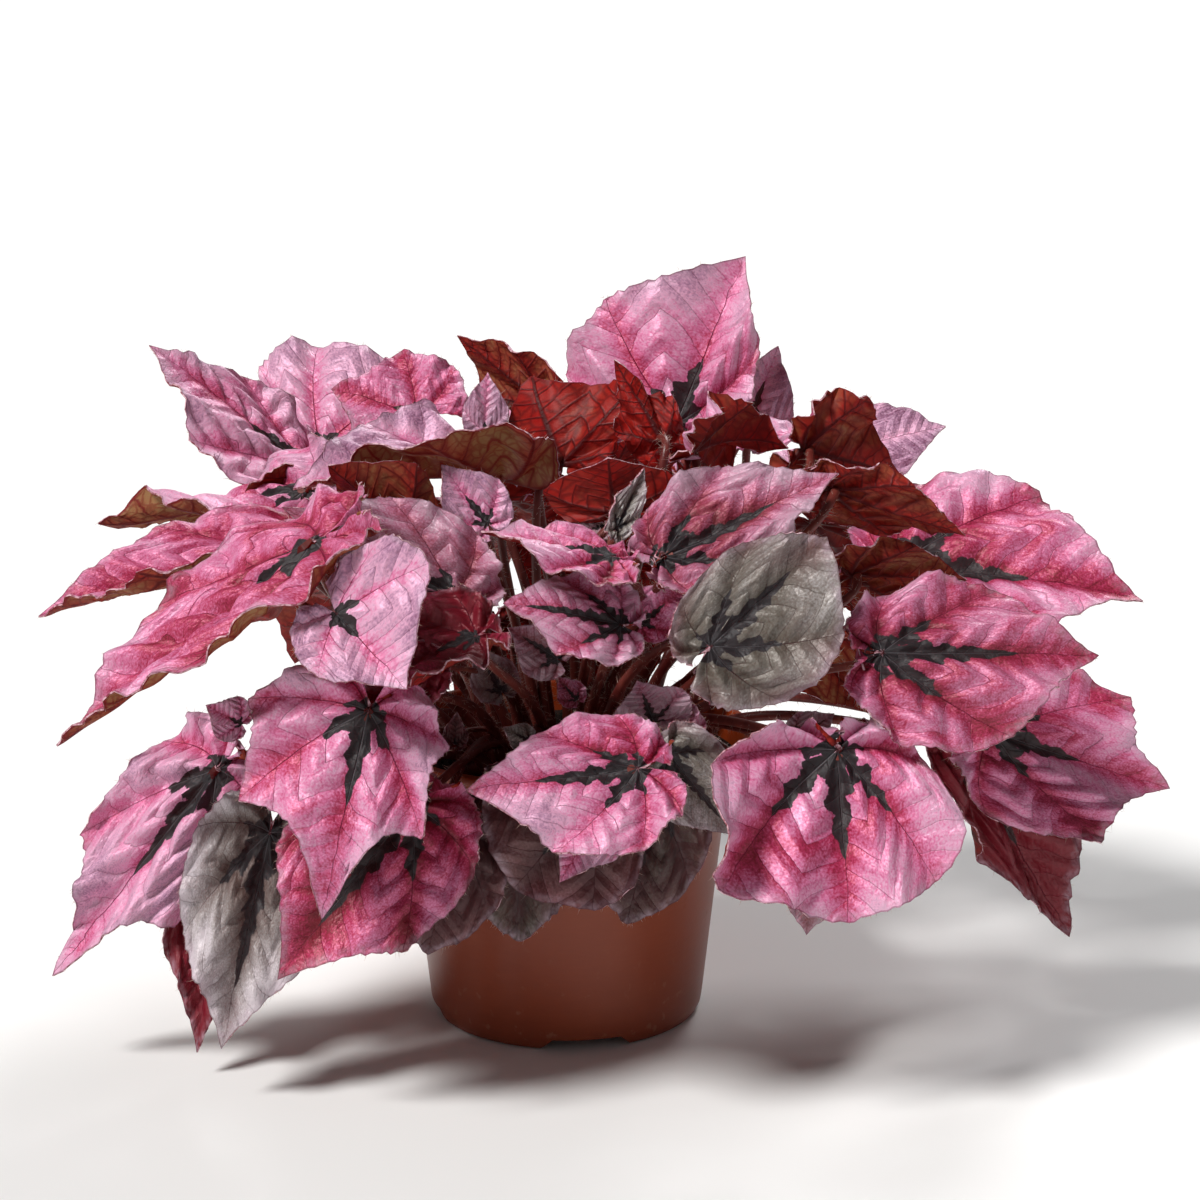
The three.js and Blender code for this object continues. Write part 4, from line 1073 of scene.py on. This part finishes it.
# Small young leaves in the dark between the large ones
youngTable = {
    "slate_left": dict(base=(13, -50, 179), tip=(1, -45, 188), face=(0, -10, 4), width=0.8, silver=0.7,
        hot=0.4, spread=1.2),
    "centre_pink": dict(base=(25, -60, 150), tip=(38, -62, 162), face=(0, -10, 4), width=1.0, hot=0.6,
        spread=0.9),
    "centre_shade": dict(base=(-2, -62, 139), tip=(-17, -66, 150), face=(0, -10, 4), width=0.95,
        silver=0.7, spread=1.2),
    "shade_low": dict(base=(4, -56, 124), tip=(-2, -58, 132), face=(0, -10, 3), width=0.9, silver=0.3),
    "shade_left": dict(base=(-20, -50, 125), tip=(-28, -55, 141), face=(0, -10, 3), width=0.8,
        silver=0.9, spread=1.2),
    "young_pair": dict(base=(38, -76, 117), tip=(39, -78, 132), face=(0, -10, 3), width=0.8,
        silver=0.3, spread=1.1),
    "left_young": dict(base=(-52, -100, 173), tip=(-48, -102, 186), face=(0, -10, 3), width=0.95,
        hot=0.6, spread=0.2, crinkle=2),
    "left_small": dict(base=(-101, -70, 120), tip=(-111, -74, 127), face=(0, -10, 3), width=1.1,
        hot=0.45, spread=0.6),
    "left_behind": dict(base=(-91, 0, 185), tip=(-110, -4, 174), face=(0, 6, 6), width=0.7, red=0.3),
    "right_hidden": dict(base=(80, -20, 134), tip=(100, -30, 112), face=(0, 10, -2), width=0.75,
        red=0.3),
    "rim_dark": dict(base=(73, -75, 116), tip=(85, -72, 124), face=(0, -10, 3), width=0.9, silver=0.7,
        hot=0.4, spread=1.3),
    "pale_wedge": dict(base=(-27, 8, 199), tip=(-26, 14, 218), face=(0, -10, 3), width=0.75, silver=0.2,
        hot=0.2, spread=0.3),
    "low_silver": dict(base=(-11, -62, 112), tip=(-19, -64, 117), face=(0, -10, 4), width=0.9, silver=1,
        hot=0.3),
    "stipule_brown": dict(base=(-35, -52, 108), tip=(-34, -54, 119), face=(0, -10, 3), width=0.7,
        silver=0.8, hot=0.8, spread=0.4),
    "deep_left": dict(base=(-33, 20, 152), tip=(-51, 28, 136), face=(0, 10, 3), width=0.8, red=0.3),
    "deep_middle": dict(base=(-2, 30, 157), tip=(-13, 36, 134), face=(0, 10, 3), width=0.95, red=0.9),
    "deep_right": dict(base=(18, 20, 152), tip=(33, 30, 121), face=(0, 10, 3), width=0.9, red=0.95),
    "deep_low": dict(base=(15, 10, 126), tip=(25, 22, 102), face=(0, 10, 3), width=1.0, red=0.9),
    "deep_far": dict(base=(-23, 20, 131), tip=(-16, 28, 104), face=(0, 10, 3), width=1.0, red=0.8),
    "deep_top": dict(base=(15, 24, 179), tip=(46, 30, 188), face=(0, 10, 3), width=0.9, red=0.8),
    "deep_top_left": dict(base=(-6, 22, 178), tip=(-21, 28, 188), face=(0, 10, 3), width=0.9),
    "fill_left": dict(base=(-40, -100, 146), tip=(-63, -104, 135), face=(0, -10, 3), width=0.8, hot=1.0,
        spread=0.4, crinkle=3),
}


# The whole plant

def settle(piece, slot, *finishes, replaces=()):
    for finish in finishes:
        piece.data.materials.append(finish)
    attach(piece, "root")
    if replaces:
        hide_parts(*replaces)


rng = np.random.default_rng(7)
leafUpperFinish = leafUpper()
leafUnderFinish = leafUnder()
leafEdgeFinish = leafEdge()


def growLeaves(table, first):
    grown = []
    for index, (name, own) in enumerate(table.items(), first):
        leaf = {**usualLeaf, **own, "name": name, "phase": index * phaseStep}
        leaf["length"] = float(np.linalg.norm(np.subtract(leaf["tip"], leaf["base"])))
        lobes = lobeSpread["small"] if leaf["length"] < lobeSpread["smallLength"] else lobeSpread["large"]
        leaf["lobeAngle"] = 2 * math.radians(blade["sinus"]) / lobes
        grown.append(leaf)
    return grown


leaves = growLeaves(leafTable, 0)
placeOnArms(leaves)
youngLeaves = growLeaves(youngTable, len(leaves))
for leaf in youngLeaves:
    leaf["start"] = armPoint(nearestArm(leaf), 0.5)
    leaf["stalkSize"] = 0.6

for leaf in leaves + youngLeaves:
    piece = makeBlade("blade_" + leaf["name"], leaf)
    replaced = () if leaf["name"] in youngTable else ("leaf_" + leaf["name"],)
    settle(piece, "leaf_silver" if leaf["silver"] > 0.5 else "leaf_pink", replaces=replaced)
for blank in blanks.values():
    bpy.data.objects.remove(blank)
leaves = leaves + youngLeaves
print("blades:", len(leaves))

settle(addStalks("stalks", leaves), "stalk", stalkFinish(), replaces=("stems",))
hairs = hairFinish()
settle(stalkHairs("stalkHairs", leaves, rng), "stalk", hairs)
settle(edgeHairs("edgeHairs", leaves, rng), "leaf_pink", hairs)
print("stalks and hairs")

settle(makePot(), "pot", potFinish(), replaces=("pot",))
peatFinish = soilFinish()
settle(makeSoil(), "peat", peatFinish, replaces=("soil",))
settle(makeCrumbs(rng), "peat", peatFinish)
print("pot and peat")

addCamera()
addLights()
bpy.ops.mesh.primitive_plane_add(size=room["floorSize"], location=(0, 0, 0))
floor = bpy.context.object
floor.name = "floor"
finish, tree = newMaterial("floor")
finishMaterial(tree, {"Base Color": room["floor"], "Roughness": 0.7})
floor.data.materials.append(finish)

counts = {name: len(piece.data.loop_triangles) for name, piece in shown.items()}
print("triangles:", {name: count for name, count in counts.items() if name[:5] != "blade"})
